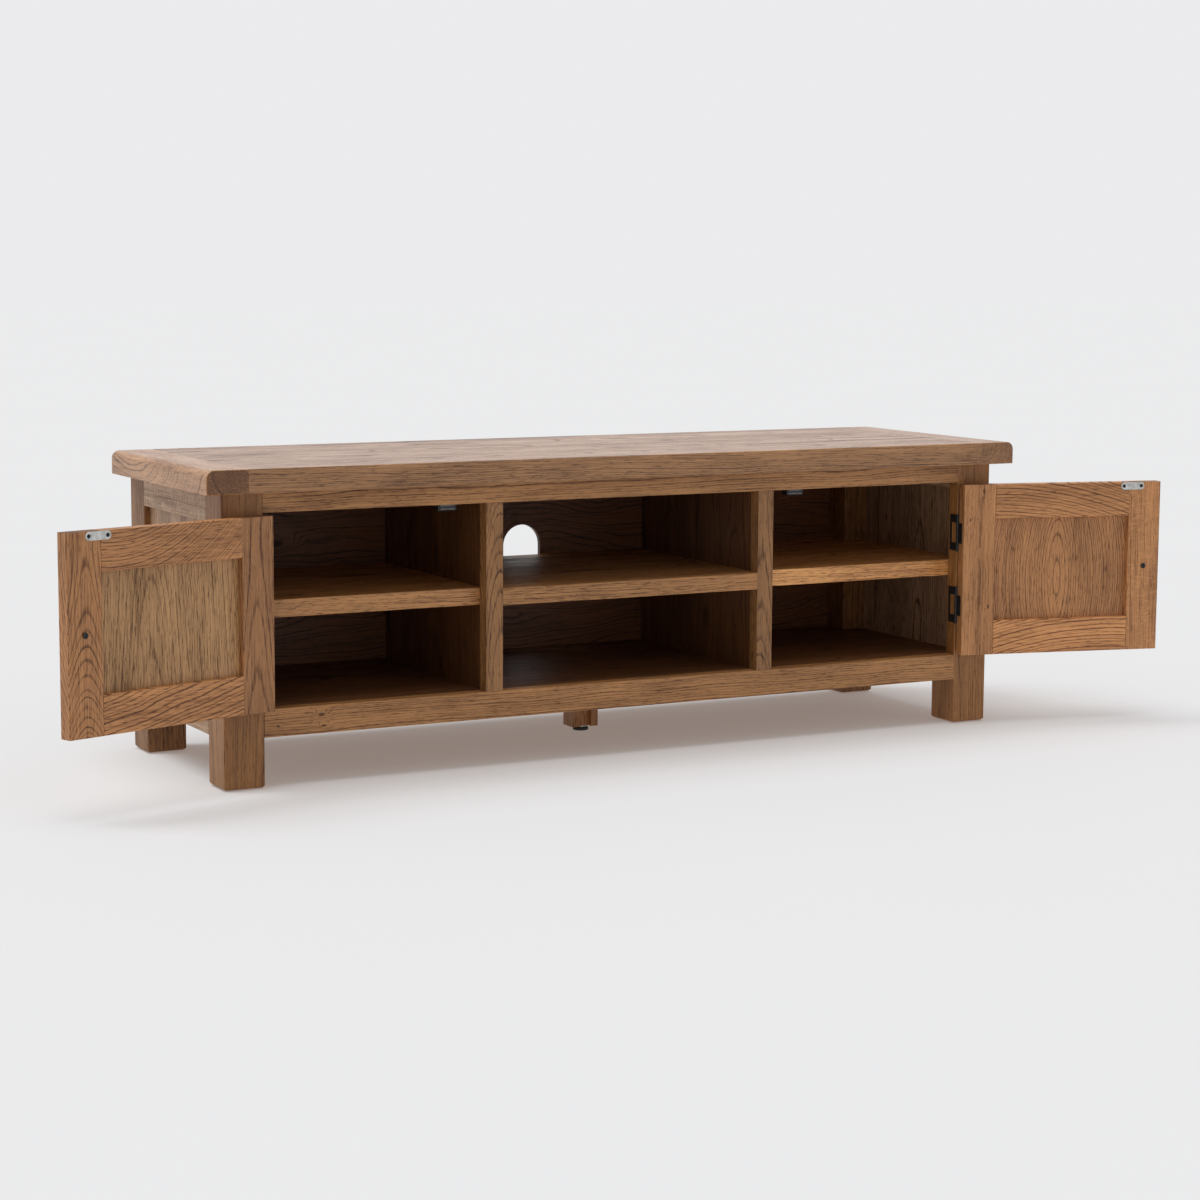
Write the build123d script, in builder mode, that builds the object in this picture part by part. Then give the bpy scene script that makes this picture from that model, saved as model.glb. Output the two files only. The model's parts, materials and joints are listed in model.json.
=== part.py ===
from build123d import *
import os

# Rustic oak media cabinet: four corner posts, framed sides, a breadboard-ended top, an open
# middle bay with one shelf, and a shelved cupboard at each end behind an inset panelled door.
# Millimetres. X runs to the right, Y to the back, Z up. The origin is on the floor, under the
# middle of the top.

# ---- overall sizes ------------------------------------------------------------------------
top_length = 1500
top_depth = 450
cabinet_height = 500

# ---- top ----------------------------------------------------------------------------------
top_thickness = 38
end_cap_width = 68
end_overhang = 32
front_overhang = 25
end_round = 13
edge_round = 2
tongue_thickness = 12
tongue_length = 22
tongue_setback = 30

# ---- posts and rails ----------------------------------------------------------------------
leg_width = 67
leg_depth = 67
leg_foot_chamfer = 3
leg_round = 1.6
floor_clearance = 80
bottom_rail_height = 44
top_rail_height = 32
front_rail_thickness = 24
front_top_rail_depth = 50
side_rail_thickness = 26
side_top_rail_height = 49
back_rail_thickness = 26
back_top_rail_height = 60
back_inset = 4
tenon_thickness = 10
tenon_length = 22
tenon_shoulder = 5
tenon_setback = 7
back_tenon_setback = 3
rail_easing = 0.8

# ---- boards and panels --------------------------------------------------------------------
side_panel_thickness = 10
side_panel_recess = 10.5
panel_tongue = 7
back_panel_thickness = 9
back_panel_lap = 12
bottom_thickness = 18
mullion_width = 30
mullion_tenon_width = 20
mullion_tenon_length = 12
middle_bay_width = 480
divider_thickness = 20
shelf_thickness = 28
side_shelf_setback = 26
cable_slot_radius = 36.5
cable_slot_rise = 32
bearer_width = 60

# ---- doors --------------------------------------------------------------------------------
door_thickness = 22
door_gap = 2.5
stile_width = 60
hinge_leaf_end_gap = 0.5
door_rail_height = 60
door_panel_thickness = 7
door_panel_recess = 11
door_tenon_length = 32
door_tenon_height = 40
door_open_angle = {"left": 163, "right": 167}

# ---- hinges -------------------------------------------------------------------------------
hinge_height = 63
hinge_inset = 89
hinge_leaf_width = 20
hinge_leaf_thickness = 1.2
hinge_window_height = 36
hinge_window_width = 15.5
knuckle_radius = 2.8
knuckle_standoff = 0.2
hinge_pin_radius = 1.4
pin_cap_thickness = 1.4

# ---- knobs, catches and screws ------------------------------------------------------------
knob_radius = 15
knob_length = 25
knob_base_radius = 8
knob_base_thickness = 1.5
knob_neck_radius = 5.5
knob_rim_radius = 5
knob_dome_height = 2
knob_bolt_radius = 2
knob_bolt_grip = 11
bolt_head_radius = 4.6
bolt_head_height = 2.2
bolt_slot_width = 1.2
strike_length = 45
strike_height = 13
strike_thickness = 1.2
strike_from_edge = 55
strike_screw_spacing = 33
strike_from_door_top = 0.5
catch_length = 47
catch_body_length = 32
catch_depth = 15
catch_height = 12
catch_ear_thickness = 3
catch_pole_length = 25
catch_pole_depth = 12
catch_pole_thickness = 2
catch_pole_spacing = 5.5
catch_pole_proud = 0.8
catch_magnet_setback = 1
catch_floor = 2
catch_easing = 0.8
catch_screw_spacing = 39
screw_shank_radius = 1.5
screw_head_radius = 3.2
screw_length = 14
screw_point_length = 3
slot_width_share = 0.3
slot_length_share = 1.3
slot_depth_share = 0.8
brad_radius = 0.7
brad_length = 17
brad_spacing = 8
brad_from_edge = 9
frame_screw_radius = 2.2
frame_screw_head = 4.4
frame_screw_length = 45
frame_screw_pocket_gap = 1
frame_screw_setback = 38
back_frame_screw_setback = 9
outer_frame_screw_x = 430
back_screw_shares = (-0.92, -0.55, -0.18, 0.18, 0.55, 0.92)
dowel_radius = 4
dowel_in_shelf = 22
dowel_in_frame = 9
dowel_end_chamfer = 0.6
post_dowel_setbacks = (-18, 26)
divider_dowel_setbacks = (0, 10)
divider_dowel_stagger = 16

# ---- feet ---------------------------------------------------------------------------------
glide_thickness = 2
glide_radius = 17
foot_width = 48
foot_depth = 38
foot_flute_width = 22
foot_flute_depth = 9
foot_y = -15
foot_end_height = 20
levelling_gap = 12
levelling_disc_radius = 13.5
levelling_disc_thickness = 5
levelling_stem_radius = 4
levelling_stem_length = 44
stem_bore_gap = 1
insert_radius = 6
insert_length = 24
insert_flange_radius = 11
insert_flange_thickness = 1.6

# ---- fits ---------------------------------------------------------------------------------
arris = 1.2
fit_gap = 0.05
groove_bottom_gap = 1
strike_gap = 0.4
knuckle_end_gap = 0.25

# ---- planes worked out from the sizes above -----------------------------------------------
end_x = top_length / 2
leg_outer_x = end_x - end_overhang
leg_inner_x = leg_outer_x - leg_width
top_front_y = -top_depth / 2
back_y = top_depth / 2
front_y = top_front_y + front_overhang
front_leg_back_y = front_y + leg_depth
rear_leg_front_y = back_y - leg_depth
under_top_z = cabinet_height - top_thickness
opening_low_z = floor_clearance + bottom_rail_height
opening_high_z = under_top_z - top_rail_height
rail_back_y = front_y + front_rail_thickness

side_rail_inner_x = leg_outer_x - side_rail_thickness
side_panel_outer_x = leg_outer_x - side_panel_recess
side_panel_inner_x = side_panel_outer_x - side_panel_thickness
side_top_rail_z = under_top_z - side_top_rail_height
side_tenon_spans_z = (
    (floor_clearance + tenon_shoulder, opening_low_z - panel_tongue - groove_bottom_gap),
    (side_top_rail_z + panel_tongue + groove_bottom_gap, under_top_z - tenon_shoulder),
)

back_rail_back_y = back_y - back_inset
back_rail_front_y = back_rail_back_y - back_rail_thickness
back_top_rail_z = under_top_z - back_top_rail_height
back_panel_y = back_rail_back_y - back_panel_thickness
back_panel_x = leg_inner_x + back_panel_lap
back_panel_low_z = opening_low_z - back_panel_lap
back_panel_high_z = back_top_rail_z + back_panel_lap

mullion_x = middle_bay_width / 2 + mullion_width / 2
mullion_outer_x = mullion_x + mullion_width / 2
back_tenon_y = back_rail_front_y + back_tenon_setback
front_rail_tenon = (front_y + tenon_setback, front_y + tenon_setback + tenon_thickness)
back_rail_tenon = (back_tenon_y, back_tenon_y + tenon_thickness)
opening_middle_z = (opening_low_z + opening_high_z) / 2
shelf_low_z = opening_middle_z - shelf_thickness / 2
shelf_high_z = opening_middle_z + shelf_thickness / 2
side_shelf_y = front_y + side_shelf_setback
divider_inner_x = mullion_x - divider_thickness / 2
divider_outer_x = mullion_x + divider_thickness / 2
bottom_low_z = opening_low_z - bottom_thickness
cap_inner_x = end_x - end_cap_width

door_low_z = opening_low_z + door_gap
door_high_z = opening_high_z - door_gap
door_back_y = front_y + door_thickness
door_hinge_x = leg_inner_x - door_gap
door_free_x = mullion_outer_x + door_gap
door_panel_y = (door_back_y - door_panel_recess - door_panel_thickness, door_back_y - door_panel_recess)
hinge_pin_x = leg_inner_x - door_gap / 2
hinge_pin_y = front_y - knuckle_radius - knuckle_standoff
hinge_heights = (opening_low_z + hinge_inset, opening_high_z - hinge_inset)
knob_x = door_free_x + stile_width / 2
strike_x = door_free_x + strike_from_edge
strike_z = door_high_z - strike_height / 2 - strike_from_door_top
catch_front_y = door_back_y + strike_thickness + strike_gap
catch_low_z = opening_high_z - catch_height
catch_ear_z = opening_high_z - catch_ear_thickness
catch_middle_y = catch_front_y + catch_pole_proud + catch_depth / 2
leg_bottom_z = glide_thickness

SIDES = {"left": -1, "right": 1}
TOWARDS_FRONT = (0, -1, 0)

os.makedirs("parts", exist_ok=True)


def keep(piece, name):
    """Label a finished piece and write it as its own file."""
    piece.label = name
    export_step(piece, f"parts/{name}.step")


def block(x, y, z, mode=Mode.ADD):
    """Fill the box between three (one end, other end) spans, in the part being built."""
    spans = [sorted(span) for span in (x, y, z)]
    with Locations(tuple(sum(span) / 2 for span in spans)):
        Box(*[high - low for low, high in spans], mode=mode)


def ease(axis, radius=arris):
    """Round the long edges that run along one axis of the part being built."""
    fillet(edges().filter_by(axis), radius=radius)


def screw(plane, shank, head, length):
    """A countersunk wood screw whose head lies in the plane and points out along its normal."""
    neck = head - shank
    with BuildPart() as body:
        with BuildSketch(Plane(plane.origin, x_dir=plane.x_dir, z_dir=-plane.y_dir)):
            with BuildLine():
                Polyline(
                    (0, 0),
                    (head, 0),
                    (shank, -neck),
                    (shank, screw_point_length - length),
                    (0, -length),
                    close=True,
                )
            make_face()
        revolve(axis=Axis(plane.origin, plane.z_dir))
        with BuildSketch(plane):
            Rectangle(head * slot_length_share, head * slot_width_share)
            Rectangle(head * slot_width_share, head * slot_length_share)
        extrude(amount=-neck * slot_depth_share, mode=Mode.SUBTRACT)
    return body.part


def screw_hole(plane, shank, head, length):
    """The hole for such a screw, cut from the part being built."""
    with Locations(plane.location):
        CounterSinkHole(
            radius=shank + fit_gap,
            counter_sink_radius=head + fit_gap,
            depth=length + 1,
            counter_sink_angle=90,
        )


def wood_screw(plane):
    """One of the small black screws that hold the hinges, catches and strike plates."""
    return screw(plane, screw_shank_radius, screw_head_radius, screw_length)


def wood_screw_hole(plane):
    """The hole that one small screw turns into."""
    screw_hole(plane, screw_shank_radius, screw_head_radius, screw_length)


def looking(point, normal):
    """A plane at a point, with its normal along the given direction and its x level."""
    return Plane(origin=point, x_dir=(0, 1, 0) if normal[0] else (1, 0, 0), z_dir=normal)


# ---- fastener places, shared by the screws and the pieces that they go through --------------
top_screw_xs = (-outer_frame_screw_x, 0, outer_frame_screw_x)
front_top_screws = [
    looking((x, front_y + frame_screw_setback, opening_high_z), (0, 0, -1)) for x in top_screw_xs
]
back_pocket_z = under_top_z - top_rail_height
back_frame_screw_y = back_rail_front_y + back_frame_screw_setback
back_top_screws = [looking((x, back_frame_screw_y, back_pocket_z), (0, 0, -1)) for x in top_screw_xs]
back_screw_xs = [leg_inner_x * share for share in back_screw_shares]
back_panel_screws = [
    looking((x, back_rail_back_y, z), (0, 1, 0))
    for x in back_screw_xs
    for z in (back_panel_low_z + back_panel_lap / 2, back_panel_high_z - back_panel_lap / 2)
]
catch_screws = [
    looking((side * strike_x + offset, catch_middle_y, catch_ear_z), (0, 0, -1))
    for side in SIDES.values()
    for offset in (-catch_screw_spacing / 2, catch_screw_spacing / 2)
]
hinge_screw_y = front_y + hinge_leaf_width / 2
hinge_end_z = (hinge_height + hinge_window_height) / 4
leg_leaf_x = leg_inner_x - hinge_leaf_thickness
door_leaf_x = door_hinge_x + hinge_leaf_thickness


def leg_hinge_screws(side):
    """Screw planes on the hinge leaves that are fixed to one front post."""
    return [
        looking((side * leg_leaf_x, hinge_screw_y, centre + offset), (-side, 0, 0))
        for centre in hinge_heights
        for offset in (-hinge_end_z, hinge_end_z)
    ]


def door_hinge_screws(side):
    """Screw planes on the hinge leaves that are fixed to one door's edge."""
    return [
        looking((side * door_leaf_x, hinge_screw_y, centre + offset), (side, 0, 0))
        for centre in hinge_heights
        for offset in (-hinge_window_height / 4, hinge_window_height / 4)
    ]


def strike_screws(side):
    """Screw planes on one strike plate."""
    return [
        looking((side * strike_x + offset, door_back_y + strike_thickness, strike_z), (0, 1, 0))
        for offset in (-strike_screw_spacing / 2, strike_screw_spacing / 2)
    ]


def brad_places(side):
    """Centres of the brads that pin the door's tenons, two at each joint."""
    inset = stile_width - brad_from_edge
    columns = (side * (door_free_x + inset), side * (door_hinge_x - inset))
    rows = (door_low_z + door_rail_height / 2, door_high_z - door_rail_height / 2)
    return [
        (x, door_back_y, row + offset)
        for x in columns
        for row in rows
        for offset in (-brad_spacing / 2, brad_spacing / 2)
    ]


def dowel_places():
    """Shelf dowels: where each one crosses a joint, and which way it runs into the frame."""
    places = []
    for side in SIDES.values():
        post_faces = ((side_panel_inner_x, front_leg_back_y), (leg_inner_x, rear_leg_front_y))
        for (face_x, face_y), setback in zip(post_faces, post_dowel_setbacks):
            places.append(((side * face_x, face_y + setback, opening_middle_z), side))
        for face_y, setback in zip((front_leg_back_y, rear_leg_front_y), divider_dowel_setbacks):
            outer_y = face_y + setback
            inner_y = outer_y + divider_dowel_stagger
            places.append(((side * divider_outer_x, outer_y, opening_middle_z), -side))
            places.append(((side * divider_inner_x, inner_y, opening_middle_z), side))
    return places


def dowel_holes():
    """Cut every shelf dowel's hole that crosses the part being built."""
    depth = dowel_in_shelf + dowel_in_frame + 1
    for (x, y, z), into_frame in dowel_places():
        middle_x = x + into_frame * (dowel_in_frame - dowel_in_shelf) / 2
        with Locations(Location((middle_x, y, z), (0, 90, 0))):
            Cylinder(dowel_radius + fit_gap, depth, mode=Mode.SUBTRACT)


# ---- top ----------------------------------------------------------------------------------
with BuildPart() as top_panel:
    block((-cap_inner_x, cap_inner_x), (top_front_y, back_y), (under_top_z, cabinet_height))
    ease(Axis.X, edge_round)
    tongue_reach = cap_inner_x + tongue_length
    middle_z = under_top_z + top_thickness / 2
    block(
        (-tongue_reach, tongue_reach),
        (top_front_y + tongue_setback, back_y - tongue_setback),
        (middle_z - tongue_thickness / 2, middle_z + tongue_thickness / 2),
    )
    for plane in front_top_screws + back_top_screws:
        screw_hole(plane, frame_screw_radius, frame_screw_head, frame_screw_length)
keep(top_panel.part, "top_panel")


def make_top_end(side):
    """Cross-grain cap on one end of the top: long outer arris well rounded, groove inside."""
    with BuildPart() as cap:
        with BuildSketch(Plane.XZ.offset(-back_y)):
            with BuildLine():
                Polyline(
                    (side * (end_x - end_round), cabinet_height),
                    (side * cap_inner_x, cabinet_height),
                    (side * cap_inner_x, under_top_z),
                    (side * end_x, under_top_z),
                    (side * end_x, cabinet_height - end_round),
                )
                RadiusArc(
                    (side * end_x, cabinet_height - end_round),
                    (side * (end_x - end_round), cabinet_height),
                    -side * end_round,
                )
            make_face()
        extrude(amount=top_depth)
        outline = edges().filter_by(Plane.XZ)
        fillet([edge for edge in outline if abs(edge.center().X) > cap_inner_x + 1], radius=edge_round)
        with Locations((side * cap_inner_x, 0, under_top_z + top_thickness / 2)):
            Box(
                2 * (tongue_length + groove_bottom_gap),
                top_depth - 2 * tongue_setback,
                tongue_thickness,
                mode=Mode.SUBTRACT,
            )
    return cap.part


for side_name, side in SIDES.items():
    keep(make_top_end(side), f"top_end_{side_name}")


# ---- posts --------------------------------------------------------------------------------
def make_leg(side, front):
    """Square corner post with its mortises and the side panel's groove.

    Between the floor and the top rail a front post is rebated behind the front frame, so the cupboard
    is wider inside. A rear post is rebated for the back panel.
    """
    leg_y = (front_y, front_leg_back_y) if front else (rear_leg_front_y, back_y)
    rails_tenon = front_rail_tenon if front else back_rail_tenon
    side_face_y = front_leg_back_y if front else rear_leg_front_y
    into_leg = -1 if front else 1
    mortise_x = (side * (leg_inner_x - 1), side * (leg_inner_x + tenon_length + groove_bottom_gap))
    mortise_y = (side_face_y - into_leg, side_face_y + into_leg * (tenon_length + groove_bottom_gap))
    groove_y = (side_face_y - into_leg, side_face_y + into_leg * (panel_tongue + groove_bottom_gap))
    panel_x = (side * side_panel_inner_x, side * side_panel_outer_x)
    top_rail_low_z = opening_high_z if front else back_top_rail_z
    with BuildPart() as leg:
        leg_centre = (side * (leg_outer_x - leg_width / 2), sum(leg_y) / 2)
        foot_levels = ((leg_bottom_z, 2 * leg_foot_chamfer), (leg_bottom_z + leg_foot_chamfer, 0))
        for height, narrowing in foot_levels:
            with BuildSketch(Plane.XY.offset(height)):
                with Locations(leg_centre):
                    RectangleRounded(leg_width - narrowing, leg_depth - narrowing, leg_round)
        loft()
        with BuildSketch(Plane.XY.offset(leg_bottom_z + leg_foot_chamfer)):
            with Locations(leg_centre):
                RectangleRounded(leg_width, leg_depth, leg_round)
        extrude(amount=under_top_z - leg_bottom_z - leg_foot_chamfer)
        for low, high in (
            (floor_clearance, opening_low_z),
            (top_rail_low_z, under_top_z),
        ):
            block(mortise_x, rails_tenon, (low + tenon_shoulder, high - tenon_shoulder), Mode.SUBTRACT)
        for span in side_tenon_spans_z:
            block(panel_x, mortise_y, span, Mode.SUBTRACT)
        groove_z = (opening_low_z - panel_tongue, side_top_rail_z + panel_tongue)
        block(panel_x, groove_y, groove_z, Mode.SUBTRACT)
        if front:
            rebate_y = (rail_back_y, front_leg_back_y + 1)
            for rebate_x, rebate_z in (
                (side_rail_inner_x, (bottom_low_z, opening_low_z)),
                (side_panel_inner_x, (opening_low_z, opening_high_z)),
            ):
                block((side * (leg_inner_x - 1), side * rebate_x), rebate_y, rebate_z, Mode.SUBTRACT)
            for plane in leg_hinge_screws(side):
                wood_screw_hole(plane)
        else:
            block(
                (side * (leg_inner_x - 1), side * back_panel_x),
                (back_panel_y, back_y + 1),
                (back_panel_low_z, back_panel_high_z),
                Mode.SUBTRACT,
            )
        dowel_holes()
    return leg.part


for side_name, side in SIDES.items():
    keep(make_leg(side, front=True), f"leg_front_{side_name}")
    keep(make_leg(side, front=False), f"leg_rear_{side_name}")


# ---- long rails ---------------------------------------------------------------------------
def long_rail(y, z, tenon_y):
    """Rail between a left and a right post, with a tenon on each end, in the part being built."""
    block((-leg_inner_x, leg_inner_x), y, z)
    ease(Axis.X, rail_easing)
    reach = leg_inner_x + tenon_length
    block((-reach, reach), tenon_y, (z[0] + tenon_shoulder, z[1] - tenon_shoulder))


def mullion_mortises(face_z, into):
    """Cut the two mortises that take the mullions' tenons from a front rail."""
    for side in SIDES.values():
        block(
            (side * (mullion_x - mullion_tenon_width / 2), side * (mullion_x + mullion_tenon_width / 2)),
            front_rail_tenon,
            (face_z - into, face_z + into * (mullion_tenon_length + groove_bottom_gap)),
            Mode.SUBTRACT,
        )


with BuildPart() as rail_front_top:
    long_rail((front_y, front_y + front_top_rail_depth), (opening_high_z, under_top_z), front_rail_tenon)
    mullion_mortises(opening_high_z, 1)
    for plane in front_top_screws:
        screw_hole(plane, frame_screw_radius, frame_screw_head, frame_screw_length)
    for plane in catch_screws:
        wood_screw_hole(plane)
keep(rail_front_top.part, "rail_front_top")

with BuildPart() as rail_front_bottom:
    long_rail((front_y, rail_back_y), (floor_clearance, opening_low_z), front_rail_tenon)
    mullion_mortises(opening_low_z, -1)
keep(rail_front_bottom.part, "rail_front_bottom")


def back_rebate():
    """Cut the rebate that the back panel lies in from a back rail."""
    block(
        (-leg_inner_x - 1, leg_inner_x + 1),
        (back_panel_y, back_rail_back_y + 1),
        (back_panel_low_z, back_panel_high_z),
        Mode.SUBTRACT,
    )


with BuildPart() as rail_back_top:
    long_rail((back_rail_front_y, back_rail_back_y), (back_top_rail_z, under_top_z), back_rail_tenon)
    back_rebate()
    for plane in back_top_screws:
        screw_hole(plane, frame_screw_radius, frame_screw_head, frame_screw_length)
        with BuildSketch(looking(plane.origin, (0, 0, -1))):
            Circle(frame_screw_head + frame_screw_pocket_gap)
        extrude(amount=back_pocket_z - back_top_rail_z, mode=Mode.SUBTRACT)
    for plane in back_panel_screws:
        wood_screw_hole(plane)
keep(rail_back_top.part, "rail_back_top")

with BuildPart() as rail_back_bottom:
    long_rail((back_rail_front_y, back_rail_back_y), (floor_clearance, opening_low_z), back_rail_tenon)
    back_rebate()
    for plane in back_panel_screws:
        wood_screw_hole(plane)
keep(rail_back_bottom.part, "rail_back_bottom")


# ---- framed sides -------------------------------------------------------------------------
def make_side_rail(side, z, tenon_z, groove_z):
    """Short rail between a front and a rear post, grooved along one edge for the side panel."""
    panel_x = (side * side_panel_inner_x, side * side_panel_outer_x)
    with BuildPart() as rail:
        block((side * side_rail_inner_x, side * leg_outer_x), (front_leg_back_y, rear_leg_front_y), z)
        ease(Axis.Y, rail_easing)
        block(
            panel_x,
            (front_leg_back_y - tenon_length, rear_leg_front_y + tenon_length),
            tenon_z,
        )
        block(panel_x, (front_leg_back_y, rear_leg_front_y), groove_z, Mode.SUBTRACT)
    return rail.part


def make_side_panel(side):
    """Thin panel held in the grooves of two posts and two side rails."""
    with BuildPart() as panel:
        block(
            (side * side_panel_inner_x, side * side_panel_outer_x),
            (front_leg_back_y - panel_tongue, rear_leg_front_y + panel_tongue),
            (opening_low_z - panel_tongue, side_top_rail_z + panel_tongue),
        )
    return panel.part


for side_name, side in SIDES.items():
    top_z = (side_top_rail_z, under_top_z)
    top_groove_z = (side_top_rail_z - 1, side_top_rail_z + panel_tongue)
    bottom_tenon_z, top_tenon_z = side_tenon_spans_z
    keep(make_side_rail(side, top_z, top_tenon_z, top_groove_z), f"side_rail_top_{side_name}")
    bottom_z = (floor_clearance, opening_low_z)
    bottom_groove_z = (opening_low_z - panel_tongue, opening_low_z + 1)
    keep(make_side_rail(side, bottom_z, bottom_tenon_z, bottom_groove_z), f"side_rail_bottom_{side_name}")
    keep(make_side_panel(side), f"side_panel_{side_name}")


# ---- inside boards ------------------------------------------------------------------------
def make_mullion(side):
    """Upright between the front rails, tenoned top and bottom."""
    with BuildPart() as mullion:
        block(
            (side * (mullion_x - mullion_width / 2), side * mullion_outer_x),
            (front_y, rail_back_y),
            (opening_low_z, opening_high_z),
        )
        ease(Axis.Z, rail_easing)
        block(
            (side * (mullion_x - mullion_tenon_width / 2), side * (mullion_x + mullion_tenon_width / 2)),
            front_rail_tenon,
            (opening_low_z - mullion_tenon_length, opening_high_z + mullion_tenon_length),
        )
    return mullion.part


def make_divider(side):
    """Upright board behind a mullion, notched round the top rails."""
    with BuildPart() as divider:
        with BuildSketch(Plane.YZ.offset(side * mullion_x)):
            with BuildLine():
                Polyline(
                    (rail_back_y, opening_low_z),
                    (back_panel_y, opening_low_z),
                    (back_panel_y, back_top_rail_z),
                    (back_rail_front_y, back_top_rail_z),
                    (back_rail_front_y, under_top_z),
                    (front_y + front_top_rail_depth, under_top_z),
                    (front_y + front_top_rail_depth, opening_high_z),
                    (rail_back_y, opening_high_z),
                    close=True,
                )
            make_face()
        extrude(amount=divider_thickness / 2, both=True)
        dowel_holes()
    return divider.part


for side_name, side in SIDES.items():
    keep(make_mullion(side), f"mullion_{side_name}")
    keep(make_divider(side), f"divider_{side_name}")

with BuildPart() as bottom_board:
    floor_z = (bottom_low_z, opening_low_z)
    block((-leg_inner_x, leg_inner_x), (rail_back_y, back_rail_front_y), floor_z)
    block((-side_rail_inner_x, side_rail_inner_x), (rail_back_y, rear_leg_front_y), floor_z)
keep(bottom_board.part, "bottom_board")

shelf_z = (shelf_low_z, shelf_high_z)
with BuildPart() as shelf_middle:
    bay_x = middle_bay_width / 2
    block((-divider_inner_x, divider_inner_x), (rail_back_y, back_panel_y), shelf_z)
    block((-bay_x, bay_x), (front_y, rail_back_y), shelf_z)
    fillet(edges().group_by(Axis.Y)[0].filter_by(Axis.X), radius=arris)
    dowel_holes()
keep(shelf_middle.part, "shelf_middle")


def make_side_shelf(side):
    """Cupboard shelf just behind the shut door, notched round the rear post."""
    with BuildPart() as shelf:
        block((side * divider_outer_x, side * leg_inner_x), (side_shelf_y, back_panel_y), shelf_z)
        block((side * leg_inner_x, side * side_panel_inner_x), (side_shelf_y, rear_leg_front_y), shelf_z)
        fillet(edges().group_by(Axis.Y)[0].filter_by(Axis.X), radius=arris)
        dowel_holes()
    return shelf.part


for side_name, side in SIDES.items():
    keep(make_side_shelf(side), f"shelf_{side_name}")

slot_centre = (0, back_rail_back_y, opening_middle_z)
with BuildPart() as back_panel:
    block(
        (-back_panel_x + fit_gap, back_panel_x - fit_gap),
        (back_panel_y, back_rail_back_y),
        (back_panel_low_z + fit_gap, back_panel_high_z - fit_gap),
    )
    with BuildSketch(looking(slot_centre, TOWARDS_FRONT)):
        SlotCenterToCenter(2 * cable_slot_rise, 2 * cable_slot_radius, rotation=90)
    extrude(amount=back_panel_thickness, mode=Mode.SUBTRACT)
    for plane in back_panel_screws:
        wood_screw_hole(plane)
keep(back_panel.part, "back_panel")


# ---- centre support and feet --------------------------------------------------------------
with BuildPart() as centre_bearer:
    bearer_z = (floor_clearance, bottom_low_z)
    block((-bearer_width / 2, bearer_width / 2), (rail_back_y, back_rail_front_y), bearer_z)
    ease(Axis.Y)
keep(centre_bearer.part, "centre_bearer")

foot_end = looking((0, foot_y, foot_end_height), (0, 0, -1))
with BuildPart() as centre_foot:
    with BuildSketch(Plane.XY.offset(foot_end_height)):
        with Locations((0, foot_y)):
            RectangleRounded(foot_width, foot_depth, arris)
        with Locations((0, foot_y - foot_depth / 2), (0, foot_y + foot_depth / 2)):
            Rectangle(foot_flute_width, 2 * foot_flute_depth, mode=Mode.SUBTRACT)
    extrude(amount=floor_clearance - foot_end_height)
    with Locations(foot_end.location):
        CounterBoreHole(
            radius=levelling_stem_radius + stem_bore_gap,
            counter_bore_radius=insert_radius + fit_gap,
            counter_bore_depth=insert_length,
            depth=levelling_stem_length,
        )
keep(centre_foot.part, "centre_foot")

with BuildPart() as foot_insert:
    with BuildSketch(foot_end):
        Circle(insert_flange_radius)
    extrude(amount=insert_flange_thickness)
    with BuildSketch(foot_end):
        Circle(insert_radius)
    extrude(amount=-insert_length)
    with BuildSketch(foot_end):
        Circle(levelling_stem_radius + fit_gap)
    extrude(amount=insert_length + insert_flange_thickness, both=True, mode=Mode.SUBTRACT)
keep(foot_insert.part, "foot_insert")

with BuildPart() as levelling_glide:
    with BuildSketch(Plane.XY.offset(levelling_gap)):
        with Locations((0, foot_y)):
            Circle(levelling_disc_radius)
    extrude(amount=levelling_disc_thickness)
    fillet(edges(), radius=arris)
    with BuildSketch(Plane.XY.offset(levelling_gap + levelling_disc_thickness)):
        with Locations((0, foot_y)):
            Circle(levelling_stem_radius)
    extrude(amount=levelling_stem_length)
keep(levelling_glide.part, "levelling_glide")

with BuildPart() as leg_glides:
    with BuildSketch(Plane.XY):
        for x in (-leg_outer_x + leg_width / 2, leg_outer_x - leg_width / 2):
            with Locations((x, front_y + leg_depth / 2), (x, back_y - leg_depth / 2)):
                Circle(glide_radius)
    extrude(amount=glide_thickness)
keep(leg_glides.part, "leg_glides")


# ---- dowels and screws of the frame ---------------------------------------------------------
def group(members):
    """Several like pieces in one file, each its own solid."""
    return Compound(children=list(members))


dowels = []
for (x, y, z), into_frame in dowel_places():
    middle_x = x + into_frame * (dowel_in_frame - dowel_in_shelf) / 2
    with BuildPart() as dowel:
        with Locations(Location((middle_x, y, z), (0, 90, 0))):
            Cylinder(dowel_radius, dowel_in_shelf + dowel_in_frame)
        chamfer(edges(), length=dowel_end_chamfer)
    dowels.append(dowel.part)
keep(group(dowels), "shelf_dowels")

keep(
    group(
        screw(plane, frame_screw_radius, frame_screw_head, frame_screw_length)
        for plane in front_top_screws + back_top_screws
    ),
    "top_screws",
)
keep(group(wood_screw(plane) for plane in back_panel_screws), "back_panel_screws")
hardware_screws = catch_screws + [plane for side in SIDES.values() for plane in leg_hinge_screws(side)]
keep(group(wood_screw(plane) for plane in hardware_screws), "hardware_screws")


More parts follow.
